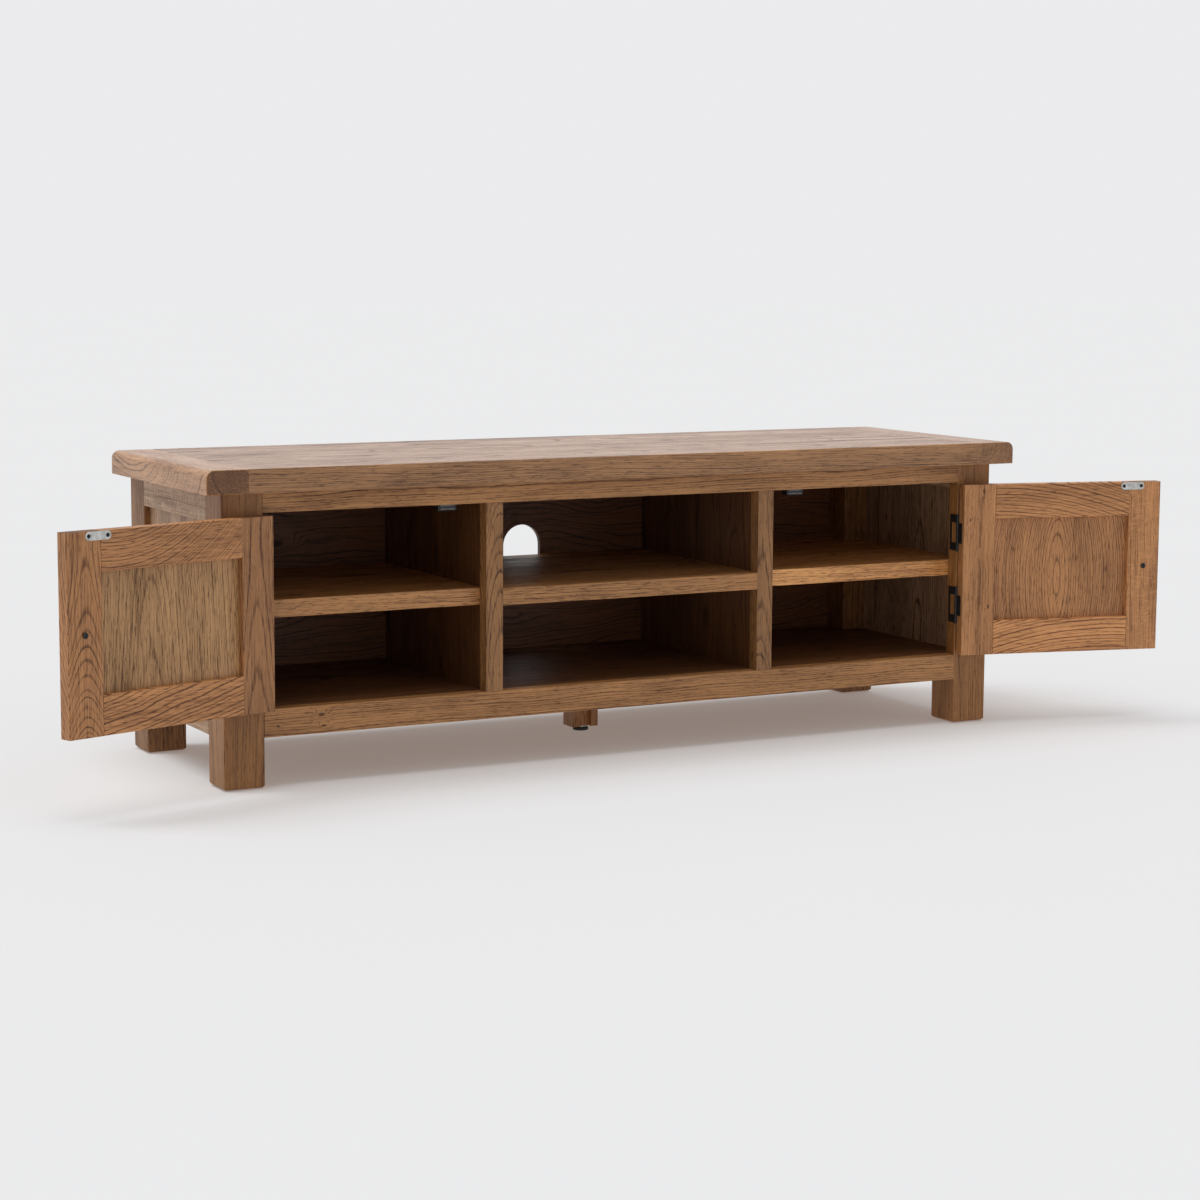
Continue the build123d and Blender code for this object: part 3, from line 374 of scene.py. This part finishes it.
def oak_lacquered(node, facts, stain, roughness, pore_depth, seed):
    """Brushed oak under satin lacquer.

    Oak is ring-porous: each year starts with a band of wide open pores, which stain takes up and which
    show as dark dashes along the grain, and ends in dense, paler wood. Brushing leaves the pores open, so
    the lacquer's soft gloss breaks up along them. On quartered faces the rays show as pale flecks.
    """
    material, tree = new_material(f"oak_lacquered_{node}")
    turn, middle = board_frame(node, facts.grain, facts.face)
    point = add(
        tree,
        "ShaderNodeMapping",
        {
            "Vector": add(tree, "ShaderNodeTexCoord", output="Object"),
            "Location": middle,
            "Rotation": turn.to_euler("XYZ"),
            "Scale": (MM, MM, MM),
        },
        vector_type="TEXTURE",
    )
    offset = Vector((seed * 7.31, seed * 3.77, seed * 5.13))
    log_point, plank_tone = glued_planks(tree, point, facts.planks) if facts.planks else (point, None)

    radius = ring_radius(tree, log_point, offset, facts)
    radius, knot_dark = add_knots(tree, point, radius, facts.knots)
    early = early_wood(tree, radius, facts.ring)
    pore = open_pores(tree, point, offset, early)

    # Fibres, and the cloudy way that stain soaks in.
    fibre = wood_streaks(tree, point, (90, 2.6, 2.6), offset, {"Detail": 3.0, "Roughness": 0.65})
    cloud = wood_streaks(tree, log_point, (210, 42, 42), offset, {"Detail": 2.5})

    depth = add(
        tree, "ShaderNodeMath", {0: early, 1: EARLY_WOOD_SHARE * facts.contrast}, operation="MULTIPLY"
    )
    fibre_part = add(
        tree,
        "ShaderNodeMapRange",
        {"Value": fibre, "From Min": 0.32, "From Max": 0.7, "To Min": 0.02, "To Max": 0.4},
    )
    depth = add(tree, "ShaderNodeMath", {0: depth, 1: fibre_part}, operation="ADD")
    cloud_part = add(
        tree, "ShaderNodeMapRange", {"Value": cloud, "From Min": 0.3, "From Max": 0.7, "To Max": 0.3}
    )
    depth = add(tree, "ShaderNodeMath", {0: depth, 1: cloud_part}, operation="ADD")
    if plank_tone:
        depth = add(
            tree, "ShaderNodeMath", {0: plank_tone, 1: PLANK_SHARE, 2: depth}, operation="MULTIPLY_ADD"
        )
    depth = add(
        tree, "ShaderNodeMath", {0: pore, 1: PORE_SHARE * facts.pores, 2: depth}, operation="MULTIPLY_ADD"
    )
    if facts.fleck:
        ray = ray_flecks(tree, point, offset, facts.fleck)
        depth = add(tree, "ShaderNodeMath", {0: depth, 1: ray}, operation="ADD")
    if knot_dark:
        depth = add(
            tree, "ShaderNodeMath", {0: knot_dark, 1: KNOT_SHARE, 2: depth}, operation="MULTIPLY_ADD"
        )

    # End grain soaks up far more stain than the sides of a board.
    facing = add(
        tree,
        "ShaderNodeVectorMath",
        {0: add(tree, "ShaderNodeTexCoord", output="Normal"), 1: facts.grain},
        output="Value",
        operation="DOT_PRODUCT",
    )
    facing = add(tree, "ShaderNodeMath", {0: facing}, operation="ABSOLUTE")
    end_grain = add(
        tree, "ShaderNodeMapRange", {"Value": facing, "From Min": 0.8, "From Max": 0.97, "To Max": facts.end}
    )
    depth = add(tree, "ShaderNodeMath", {0: depth, 1: end_grain}, operation="ADD")

    # A board's shade scales its stain. On a few boards this is painted light and shade, for how the light falls
    # on them.
    base = Vector(stain) * facts.shade
    ramp = add(tree, "ShaderNodeValToRGB", {"Fac": depth}).node
    stops = ramp.color_ramp.elements
    for position, _ in STAIN_TONES[1:-1]:
        stops.new(position)
    for stop, (_, parts) in zip(stops, STAIN_TONES):
        stop.color = (*[min(1.0, channel * part) for channel, part in zip(base, parts)], 1.0)

    rough = add(
        tree,
        "ShaderNodeMapRange",
        {
            "Value": depth,
            "To Min": roughness - facts.gloss - 0.03,
            "To Max": roughness - facts.gloss + 0.22,
        },
    )
    height = add(tree, "ShaderNodeMath", {0: depth, 1: -1.0}, operation="MULTIPLY")
    normal = add(tree, "ShaderNodeBump", {"Strength": 0.5, "Distance": pore_depth, "Height": height})
    shader = add(
        tree,
        "ShaderNodeBsdfPrincipled",
        {"Base Color": ramp.outputs[0], "Roughness": rough, "Normal": normal, "IOR": 1.5},
    )
    finish(tree, shader)
    return material


def lay_boards(settings, boards):
    """Finish every board in a table of node names and board facts."""
    for node, facts in boards.items():
        seed = sorted(NODES).index(node) + 1
        stain = getattr(settings, facts.stain)
        dress(node, oak_lacquered(node, facts, stain, settings.roughness, settings.pore_depth, seed))


# ---- other finishes -------------------------------------------------------------------------
def steel_blackened(colour):
    """Pressed steel with a black lacquer: near black, with a soft broken gloss."""
    material, tree = new_material("steel_blackened")
    place = add(tree, "ShaderNodeTexCoord", output="Object")
    speckle = add(tree, "ShaderNodeTexNoise", {"Vector": place, "Scale": 900.0, "Detail": 2.0})
    worn = add(tree, "ShaderNodeTexNoise", {"Vector": place, "Scale": 90.0, "Detail": 3.0})
    shade = add(
        tree,
        "ShaderNodeMix",
        {
            "Factor": add(
                tree, "ShaderNodeMapRange", {"Value": worn, "From Min": 0.45, "From Max": 0.75, "To Max": 0.5}
            ),
            "A": (*colour, 1.0),
            "B": (*[c * 2.4 for c in colour], 1.0),
        },
        output="Result",
        data_type="RGBA",
    )
    rough = add(tree, "ShaderNodeMapRange", {"Value": speckle, "To Min": 0.48, "To Max": 0.62})
    normal = add(tree, "ShaderNodeBump", {"Strength": 0.3, "Distance": 0.00003, "Height": speckle})
    shader = add(
        tree,
        "ShaderNodeBsdfPrincipled",
        {"Base Color": shade, "Roughness": rough, "Normal": normal, "IOR": 1.52},
    )
    finish(tree, shader)
    return material


def steel_stamped(name, colour):
    """Stamped steel, bare or bright zinc plated: cool silver with a fine cloudy grain."""
    material, tree = new_material(name)
    place = add(tree, "ShaderNodeTexCoord", output="Object")
    cloud = add(tree, "ShaderNodeTexNoise", {"Vector": place, "Scale": 160.0, "Detail": 4.0})
    shade = add(
        tree,
        "ShaderNodeMix",
        {
            "Factor": add(tree, "ShaderNodeMapRange", {"Value": cloud, "From Min": 0.35, "From Max": 0.7}),
            "A": (*colour, 1.0),
            "B": (*[c * 0.62 for c in colour], 1.0),
        },
        output="Result",
        data_type="RGBA",
    )
    rough = add(tree, "ShaderNodeMapRange", {"Value": cloud, "To Min": 0.26, "To Max": 0.46})
    shader = add(
        tree,
        "ShaderNodeBsdfPrincipled",
        {"Base Color": shade, "Roughness": rough, "Metallic": 1.0},
    )
    finish(tree, shader)
    return material


def brass_bronzed(colour):
    """Turned brass with a rubbed dark patina: brown metal, brighter where hands polish it."""
    material, tree = new_material("brass_bronzed")
    place = add(tree, "ShaderNodeTexCoord", output="Object")
    rubbed = add(tree, "ShaderNodeTexNoise", {"Vector": place, "Scale": 120.0, "Detail": 3.0})
    shade = add(
        tree,
        "ShaderNodeMix",
        {
            "Factor": add(tree, "ShaderNodeMapRange", {"Value": rubbed, "From Min": 0.42, "From Max": 0.72}),
            "A": (*colour, 1.0),
            "B": (*[min(1.0, c * 2.6) for c in colour], 1.0),
        },
        output="Result",
        data_type="RGBA",
    )
    rough = add(tree, "ShaderNodeMapRange", {"Value": rubbed, "To Min": 0.45, "To Max": 0.3})
    shader = add(
        tree,
        "ShaderNodeBsdfPrincipled",
        {"Base Color": shade, "Roughness": rough, "Metallic": 0.9},
    )
    finish(tree, shader)
    return material


def nylon_moulded(colour):
    """Moulded black nylon: matt, with the fine spark texture of its mould."""
    material, tree = new_material("nylon_moulded")
    place = add(tree, "ShaderNodeTexCoord", output="Object")
    spark = add(tree, "ShaderNodeTexNoise", {"Vector": place, "Scale": 1400.0, "Detail": 1.0})
    shade = add(
        tree,
        "ShaderNodeMix",
        {"Factor": spark, "A": (*colour, 1.0), "B": (*[c * 1.8 for c in colour], 1.0)},
        output="Result",
        data_type="RGBA",
    )
    rough = add(tree, "ShaderNodeMapRange", {"Value": spark, "To Min": 0.45, "To Max": 0.62})
    normal = add(tree, "ShaderNodeBump", {"Strength": 0.35, "Distance": 0.00005, "Height": spark})
    shader = add(
        tree,
        "ShaderNodeBsdfPrincipled",
        {"Base Color": shade, "Roughness": rough, "Normal": normal, "IOR": 1.53},
    )
    finish(tree, shader)
    return material


def ferrite_pressed():
    """Pressed and ground ferrite: dark grey ceramic with a faint grain."""
    material, tree = new_material("ferrite_pressed")
    place = add(tree, "ShaderNodeTexCoord", output="Object")
    grain = add(tree, "ShaderNodeTexNoise", {"Vector": place, "Scale": 1100.0, "Detail": 2.0})
    ramp = add(tree, "ShaderNodeValToRGB", {"Fac": grain}).node
    ramp.color_ramp.elements[0].color = linear("232326")
    ramp.color_ramp.elements[1].color = linear("3c3c40")
    shader = add(
        tree,
        "ShaderNodeBsdfPrincipled",
        {"Base Color": ramp.outputs[0], "Roughness": 0.55, "IOR": 1.6},
    )
    finish(tree, shader)
    return material


def beech_turned(colour):
    """Turned beech dowel: pale, even wood with short brown flecks."""
    material, tree = new_material("beech_turned")
    place = add(tree, "ShaderNodeTexCoord", output="Object")
    stretched = add(
        tree, "ShaderNodeVectorMath", {0: place, 1: (160.0, 1400.0, 1400.0)}, operation="MULTIPLY"
    )
    fleck = add(tree, "ShaderNodeTexNoise", {"Vector": stretched, "Scale": 1.0, "Detail": 2.0})
    shade = add(
        tree,
        "ShaderNodeMix",
        {
            "Factor": add(tree, "ShaderNodeMapRange", {"Value": fleck, "From Min": 0.5, "From Max": 0.7}),
            "A": (*colour, 1.0),
            "B": (*[c * 0.6 for c in colour], 1.0),
        },
        output="Result",
        data_type="RGBA",
    )
    shader = add(
        tree, "ShaderNodeBsdfPrincipled", {"Base Color": shade, "Roughness": 0.6, "IOR": 1.5}
    )
    finish(tree, shader)
    return material


# ---- studio ---------------------------------------------------------------------------------
# Metres, and for the sensor millimetres. The floor is far wider than the camera sees.
FLOOR_SIZE = 60
VIEW_DISTANCE = 200
SENSOR_WIDTH = 36

# Where the camera stands, in metres, and how it is turned, in degrees.
CAMERA_PLACE = (-2.158, -4.088, 0.838)
CAMERA_HEADING = -28.32
CAMERA_TILT = 82.57
CAMERA_ROLL = 0.32


# ---- operators ------------------------------------------------------------------------------
class CABINET_OT_top(Operator):
    """Finish the top and its two cross-grain end caps"""

    bl_idname = "cabinet.top"
    bl_label = "Finish top"

    def execute(self, context):
        lay_boards(
            context.scene.cabinet_oak,
            {
                "top_panel": board(
                    RIGHT, UP, "top", heart=(0, -70), tilt=0.02, ring=3.4, wave=15, contrast=0.65,
                    pores=0.45, planks=92, gloss=0.22,
                    knots=((-330, -150, 6), (210, 60, 7), (455, -205, 5)),
                ),
                "top_end_left": board(
                    FRONT, LEFT, "top", heart=(20, -26), tilt=0.10, bow=0.0007, bow_at=-60, ring=3.2,
                    wave=14, contrast=0.6, pores=0.4, shade=1.2, gloss=0.22,
                ),
                "top_end_right": board(
                    FRONT, RIGHT, "top", heart=(-14, -30), tilt=0.06, bow=0.0004, bow_at=40, ring=3.4,
                    wave=14, contrast=0.55, pores=0.4, gloss=0.22, end=0.1,
                ),
            },
        )
        return {"FINISHED"}


class CABINET_OT_frame(Operator):
    """Finish the posts and the long rails"""

    bl_idname = "cabinet.frame"
    bl_label = "Finish posts and rails"

    def execute(self, context):
        lay_boards(
            context.scene.cabinet_oak,
            {
                "leg_front_left": board(
                    UP, FRONT, "post", heart=(-46, -30), tilt=0.012, ring=3.8, wave=8, contrast=0.32,
                    pores=0.3,
                ),
                "leg_front_right": board(
                    UP, FRONT, "post", heart=(52, -22), tilt=0.014, ring=3.8, wave=8, contrast=0.35,
                    pores=0.3, shade=1.2,
                ),
                # This post is drawn darker, shade 0.85, as painted shade for the shadow of the cabinet over it.
                "leg_rear_left": board(
                    UP, FRONT, "post", heart=(30, -48), tilt=0.02, ring=3.2, wave=10, contrast=0.45,
                    shade=0.85,
                ),
                "leg_rear_right": board(
                    UP, FRONT, "post", heart=(-38, -44), tilt=0.016, ring=3.0, wave=10, contrast=0.6,
                ),
                "rail_front_top": board(
                    RIGHT, FRONT, "front", heart=(60, -40), tilt=0.004, ring=4.0, wave=12, contrast=0.65,
                    pores=0.4,
                ),
                "rail_front_bottom": board(
                    RIGHT, FRONT, "front", heart=(-70, -30), tilt=0.004, ring=4.2, wave=14,
                    contrast=0.65, pores=0.4, knots=((-556, 8, 3.0), (-552, -10, 2.4), (-628, -6, 1.6)),
                ),
                "rail_back_top": board(
                    RIGHT, BACK, "inside", heart=(20, -50), ring=3.2, wave=14, contrast=0.5,
                ),
                "rail_back_bottom": board(
                    RIGHT, BACK, "inside", heart=(-16, -44), ring=3.0, wave=14, contrast=0.5,
                ),
                "mullion_left": board(
                    UP, FRONT, "front", heart=(-12, -16), tilt=0.11, bow=0.0003, ring=4.6, wave=9,
                    contrast=0.6, shade=0.78,
                ),
                "mullion_right": board(
                    UP, FRONT, "front", heart=(8, -14), tilt=0.07, bow=-0.0003, ring=4.6, wave=9,
                    contrast=0.6, shade=0.72,
                ),
            },
        )
        return {"FINISHED"}


class CABINET_OT_sides(Operator):
    """Finish the rails and panels of the two framed ends"""

    bl_idname = "cabinet.sides"
    bl_label = "Finish sides"

    def execute(self, context):
        boards = {}
        # The side stain is partly painted light, paler for the light and sheen on the left end.
        for side, outward in (("left", LEFT), ("right", RIGHT)):
            boards[f"side_rail_top_{side}"] = board(
                FRONT, outward, "side", heart=(120, -10), tilt=0.01, ring=3.0, wave=12, contrast=0.2,
                pores=0.2, fleck=0.9,
            )
            boards[f"side_rail_bottom_{side}"] = board(
                FRONT, outward, "side", heart=(-60, -30), tilt=0.02, ring=3.0, wave=12, contrast=0.4,
                pores=0.3,
            )
            boards[f"side_panel_{side}"] = board(
                UP, outward, "side", heart=(30, -52), tilt=0.03, ring=3.4, wave=16, contrast=0.55,
                pores=0.6, shade=0.95,
            )
        lay_boards(context.scene.cabinet_oak, boards)
        return {"FINISHED"}


class CABINET_OT_inside(Operator):
    """Finish the shelves, dividers, bottom, back and centre support"""

    bl_idname = "cabinet.inside"
    bl_label = "Finish inside"

    def execute(self, context):
        lay_boards(
            context.scene.cabinet_oak,
            {
                # The inside and back stains here are painted shade, darker for the shade deep in the bays.
                "divider_left": board(
                    UP, LEFT, "inside", heart=(40, -90), ring=4.2, wave=16, contrast=0.5, pores=0.3,
                    planks=110,
                ),
                "divider_right": board(
                    UP, LEFT, "inside", heart=(30, -90), ring=4.2, wave=16, contrast=0.5, pores=0.3,
                    planks=110,
                ),
                "bottom_board": board(
                    RIGHT, UP, "inside", heart=(0, -80), ring=4.0, wave=24, contrast=0.5, pores=0.3,
                    planks=100,
                ),
                "shelf_left": board(
                    RIGHT, UP, "front", heart=(0, -60), ring=3.0, wave=14, contrast=0.5, planks=96,
                    shade=1.25, gloss=0.12,
                ),
                "shelf_middle": board(
                    RIGHT, UP, "front", heart=(0, -60), ring=3.4, wave=18, contrast=0.5, planks=96,
                ),
                # The right shelf is drawn paler, shade 1.9, as painted light for the light that falls on it in
                # its bay.
                "shelf_right": board(
                    RIGHT, UP, "front", heart=(0, -60), ring=3.0, wave=14, contrast=0.5, planks=96,
                    shade=1.9, gloss=0.12,
                ),
                "back_panel": board(
                    RIGHT, FRONT, "back", heart=(0, -90), tilt=0.02, ring=6.0, wave=44, contrast=0.7,
                    pores=0.3,
                    knots=((-214, -88, 8), (-60, 96, 7), (420, 60, 8), (-470, 70, 8), (500, -70, 7)),
                ),
                "centre_bearer": board(BACK, FRONT, "inside", heart=(10, -40), ring=3.2, contrast=0.5),
                "centre_foot": board(
                    UP, FRONT, "front", heart=(18, -30), tilt=0.03, ring=3.2, contrast=0.6,
                ),
            },
        )
        return {"FINISHED"}


def door_directions(side):
    """Where a resting door's inner face looks, and the way along its width to the right of a viewer."""
    hinge = next(joint for joint in frame["joints"] if joint["name"] == f"door_{side}_hinge")
    shut, turn_axis = math.radians(hinge["range_deg"][0]), Vector(hinge["axis"])
    face = Matrix.Rotation(-shut, 3, turn_axis) @ BACK
    return face, UP.cross(face)


class CABINET_OT_doors(Operator):
    """Finish the frame and panel of each door, drawn to the angle at which the door rests"""

    bl_idname = "cabinet.doors"
    bl_label = "Finish doors"

    def execute(self, context):
        left_face, left_across = door_directions("left")
        right_face, right_across = door_directions("right")
        lay_boards(
            context.scene.cabinet_oak,
            {
                "door_left_latch_stile": board(
                    UP, left_face, "door", heart=(-2, -21), tilt=0.165, bow=-0.00057, ring=4.2, wave=7,
                    contrast=0.65, pores=0.4,
                ),
                "door_left_hinge_stile": board(
                    UP, left_face, "door", heart=(3, -22), tilt=0.06, bow=-0.0002, ring=5.6, wave=12,
                    contrast=0.55, pores=0.35, shade=0.79,
                ),
                "door_left_top_rail": board(
                    left_across, left_face, "door", heart=(66, -14), tilt=0.42, bow=0.0021, ring=5.2,
                    wave=6, contrast=0.7, pores=0.5,
                ),
                "door_left_bottom_rail": board(
                    left_across, left_face, "door", heart=(-80, -14), tilt=-0.22, bow=0.0, ring=6.6,
                    wave=26, contrast=1.0, pores=0.5, shade=1.12,
                ),
                "door_left_panel": board(
                    UP, left_face, "panel", heart=(34, -40), tilt=0.06, ring=4.6, wave=7, contrast=0.36,
                    pores=0.5,
                ),
                "door_right_hinge_stile": board(
                    UP, right_face, "door", heart=(-170, -30), tilt=0.01, ring=4.0, wave=8,
                    contrast=0.15, pores=0.4,
                    knots=((139, -7, 2.6), (89, 18, 1.8), (90, 4, 1.0), (-65, -19, 2.4)),
                ),
                "door_right_latch_stile": board(
                    UP, right_face, "door", heart=(150, -20), tilt=0.02, ring=4.2, wave=8,
                    contrast=0.35, pores=0.35, fleck=0.5, shade=1.1,
                ),
                "door_right_top_rail": board(
                    right_across, right_face, "door", heart=(-70, -12), tilt=0.19, bow=0.00068,
                    ring=6.0, wave=8, contrast=1.0, pores=0.4, shade=1.12,
                ),
                "door_right_bottom_rail": board(
                    right_across, right_face, "door", heart=(-80, -12), tilt=-0.10, bow=0.00063,
                    ring=6.2, wave=6, contrast=1.0, pores=0.4, shade=1.4,
                ),
                "door_right_panel": board(
                    UP, right_face, "door", heart=(4, -13), tilt=0.0, bow=0.0012, bow_at=-17, ring=4.4,
                    wave=5, contrast=0.7, pores=0.5, shade=1.05,
                ),
            },
        )
        return {"FINISHED"}


class CABINET_OT_hardware(Operator):
    """Finish the hinges, catches, strike plates, knobs, screws and dowels"""

    bl_idname = "cabinet.hardware"
    bl_label = "Finish hardware"

    def execute(self, context):
        settings = context.scene.cabinet_hardware
        blackened = steel_blackened(settings.blackened)
        zinc = steel_stamped("steel_zinc_plated", settings.zinc)
        bronzed = brass_bronzed(settings.bronzed)
        for node in (
            "hinge_leg_leaves",
            "hinge_pins",
            "hardware_screws",
            "back_panel_screws",
            "door_left_hinge_leaves",
            "door_right_hinge_leaves",
            "door_left_fixings",
            "door_right_fixings",
            "door_left_knob_bolt",
            "door_right_knob_bolt",
        ):
            dress(node, blackened)
        for node in ("door_left_strike_plate", "door_right_strike_plate", "top_screws"):
            dress(node, zinc)
        dress("catch_poles", steel_stamped("steel_bare", settings.bare))
        for node in ("door_left_knob", "door_right_knob"):
            dress(node, bronzed)
        dress("catch_housings", nylon_moulded(settings.plastic))
        dress("catch_magnets", ferrite_pressed())
        dress("shelf_dowels", beech_turned(settings.beech))
        return {"FINISHED"}


class CABINET_OT_feet(Operator):
    """Finish the glides under the posts and the levelling foot"""

    bl_idname = "cabinet.feet"
    bl_label = "Finish feet"

    def execute(self, context):
        settings = context.scene.cabinet_hardware
        nylon = nylon_moulded(settings.plastic)
        dress("leg_glides", nylon)
        dress("levelling_glide", nylon)
        dress("foot_insert", steel_stamped("steel_zinc_plated", settings.zinc))
        return {"FINISHED"}


class CABINET_OT_stage(Operator):
    """Lay the floor, and set the lights, the backdrop and the camera"""

    bl_idname = "cabinet.stage"
    bl_label = "Set stage"

    def execute(self, context):
        scene = context.scene
        settings = scene.cabinet_studio
        bpy.ops.object.select_all(action="DESELECT")
        bpy.ops.mesh.primitive_plane_add(size=FLOOR_SIZE, location=(0, 0, 0))
        floor = context.object
        floor.name = "floor"
        material, tree = new_material("acrylic_opal")
        place = add(tree, "ShaderNodeTexCoord", output="Object")
        cloud = add(tree, "ShaderNodeTexNoise", {"Vector": place, "Scale": 1.3, "Detail": 2.0})
        shade = add(
            tree,
            "ShaderNodeMix",
            {
                "Factor": cloud,
                "A": (*settings.floor, 1.0),
                "B": (*[c * 0.985 for c in settings.floor], 1.0),
            },
            output="Result",
            data_type="RGBA",
        )
        # The floor's emission is painted light. It lifts the shadow under the cabinet with a warm tint, like
        # light bounced from the wood.
        finish(
            tree,
            add(
                tree,
                "ShaderNodeBsdfPrincipled",
                {
                    "Base Color": shade,
                    "Roughness": 0.95,
                    "Specular IOR Level": 0.0,
                    "Emission Color": (*settings.painted_light_tint, 1.0),
                    "Emission Strength": settings.painted_light_strength,
                },
            ),
        )
        floor.data.materials.append(material)

        world = bpy.data.worlds.new("studio")
        world.use_nodes = True
        world.node_tree.nodes.clear()
        tree = world.node_tree
        seen = add(tree, "ShaderNodeLightPath", output="Is Diffuse Ray")
        backdrop = add(tree, "ShaderNodeBackground", {"Color": (*settings.backdrop, 1.0), "Strength": 1.0})
        fill = add(
            tree,
            "ShaderNodeBackground",
            {"Color": (*settings.backdrop, 1.0), "Strength": settings.fill},
        )
        both = add(tree, "ShaderNodeMixShader", {0: seen, 1: backdrop, 2: fill})
        add(tree, "ShaderNodeOutputWorld", {"Surface": both})
        scene.world = world

        # Parallel lights keep the floor evenly bright, so that it runs into the backdrop with no horizon.
        for name, irradiance, width, source in (
            ("overhead_light", settings.overhead, 40, Vector((-0.12, -0.04, 1.0))),
            ("window_light", settings.window, 24, Vector((-0.6, 0.32, 1.0))),
        ):
            lamp = bpy.data.lights.new(name, "SUN")
            lamp.angle = math.radians(width)
            lamp.energy = irradiance
            holder = bpy.data.objects.new(name, lamp)
            holder.rotation_euler = source.to_track_quat("Z", "Y").to_euler()
            scene.collection.objects.link(holder)

        lens = bpy.data.cameras.new("camera")
        lens.lens = settings.lens
        lens.sensor_width = SENSOR_WIDTH
        lens.clip_end = VIEW_DISTANCE
        camera = bpy.data.objects.new("camera", lens)
        turn = (
            Matrix.Rotation(math.radians(CAMERA_HEADING), 4, "Z")
            @ Matrix.Rotation(math.radians(CAMERA_TILT), 4, "X")
            @ Matrix.Rotation(math.radians(CAMERA_ROLL), 4, "Z")
        )
        camera.matrix_world = Matrix.Translation(CAMERA_PLACE) @ turn
        scene.collection.objects.link(camera)
        scene.camera = camera
        scene.view_settings.view_transform = "Standard"
        return {"FINISHED"}


class CABINET_PT_panel(Panel):
    """Buttons for each part of the cabinet's finish"""

    bl_idname = "CABINET_PT_panel"
    bl_label = "Media cabinet"
    bl_space_type = "VIEW_3D"
    bl_region_type = "UI"
    bl_category = "Cabinet"

    def draw(self, context):
        layout = self.layout
        for group in ("cabinet_oak", "cabinet_hardware", "cabinet_studio"):
            settings = getattr(context.scene, group)
            box = layout.box()
            for name in settings.__annotations__:
                box.prop(settings, name)
        for operator in OPERATORS:
            layout.operator(operator.bl_idname)


OPERATORS = (
    CABINET_OT_top,
    CABINET_OT_frame,
    CABINET_OT_sides,
    CABINET_OT_inside,
    CABINET_OT_doors,
    CABINET_OT_hardware,
    CABINET_OT_feet,
    CABINET_OT_stage,
)
CLASSES = (OakSettings, HardwareSettings, StudioSettings, *OPERATORS, CABINET_PT_panel)


def register():
    for cls in CLASSES:
        bpy.utils.register_class(cls)
    bpy.types.Scene.cabinet_oak = PointerProperty(type=OakSettings)
    bpy.types.Scene.cabinet_hardware = PointerProperty(type=HardwareSettings)
    bpy.types.Scene.cabinet_studio = PointerProperty(type=StudioSettings)


def unregister():
    del bpy.types.Scene.cabinet_studio
    del bpy.types.Scene.cabinet_hardware
    del bpy.types.Scene.cabinet_oak
    for cls in reversed(CLASSES):
        bpy.utils.unregister_class(cls)


def main():
    register()
    bpy.ops.cabinet.top()
    bpy.ops.cabinet.frame()
    bpy.ops.cabinet.sides()
    bpy.ops.cabinet.inside()
    bpy.ops.cabinet.doors()
    bpy.ops.cabinet.hardware()
    bpy.ops.cabinet.feet()
    bpy.ops.cabinet.stage()


if __name__ == "__main__":
    main()
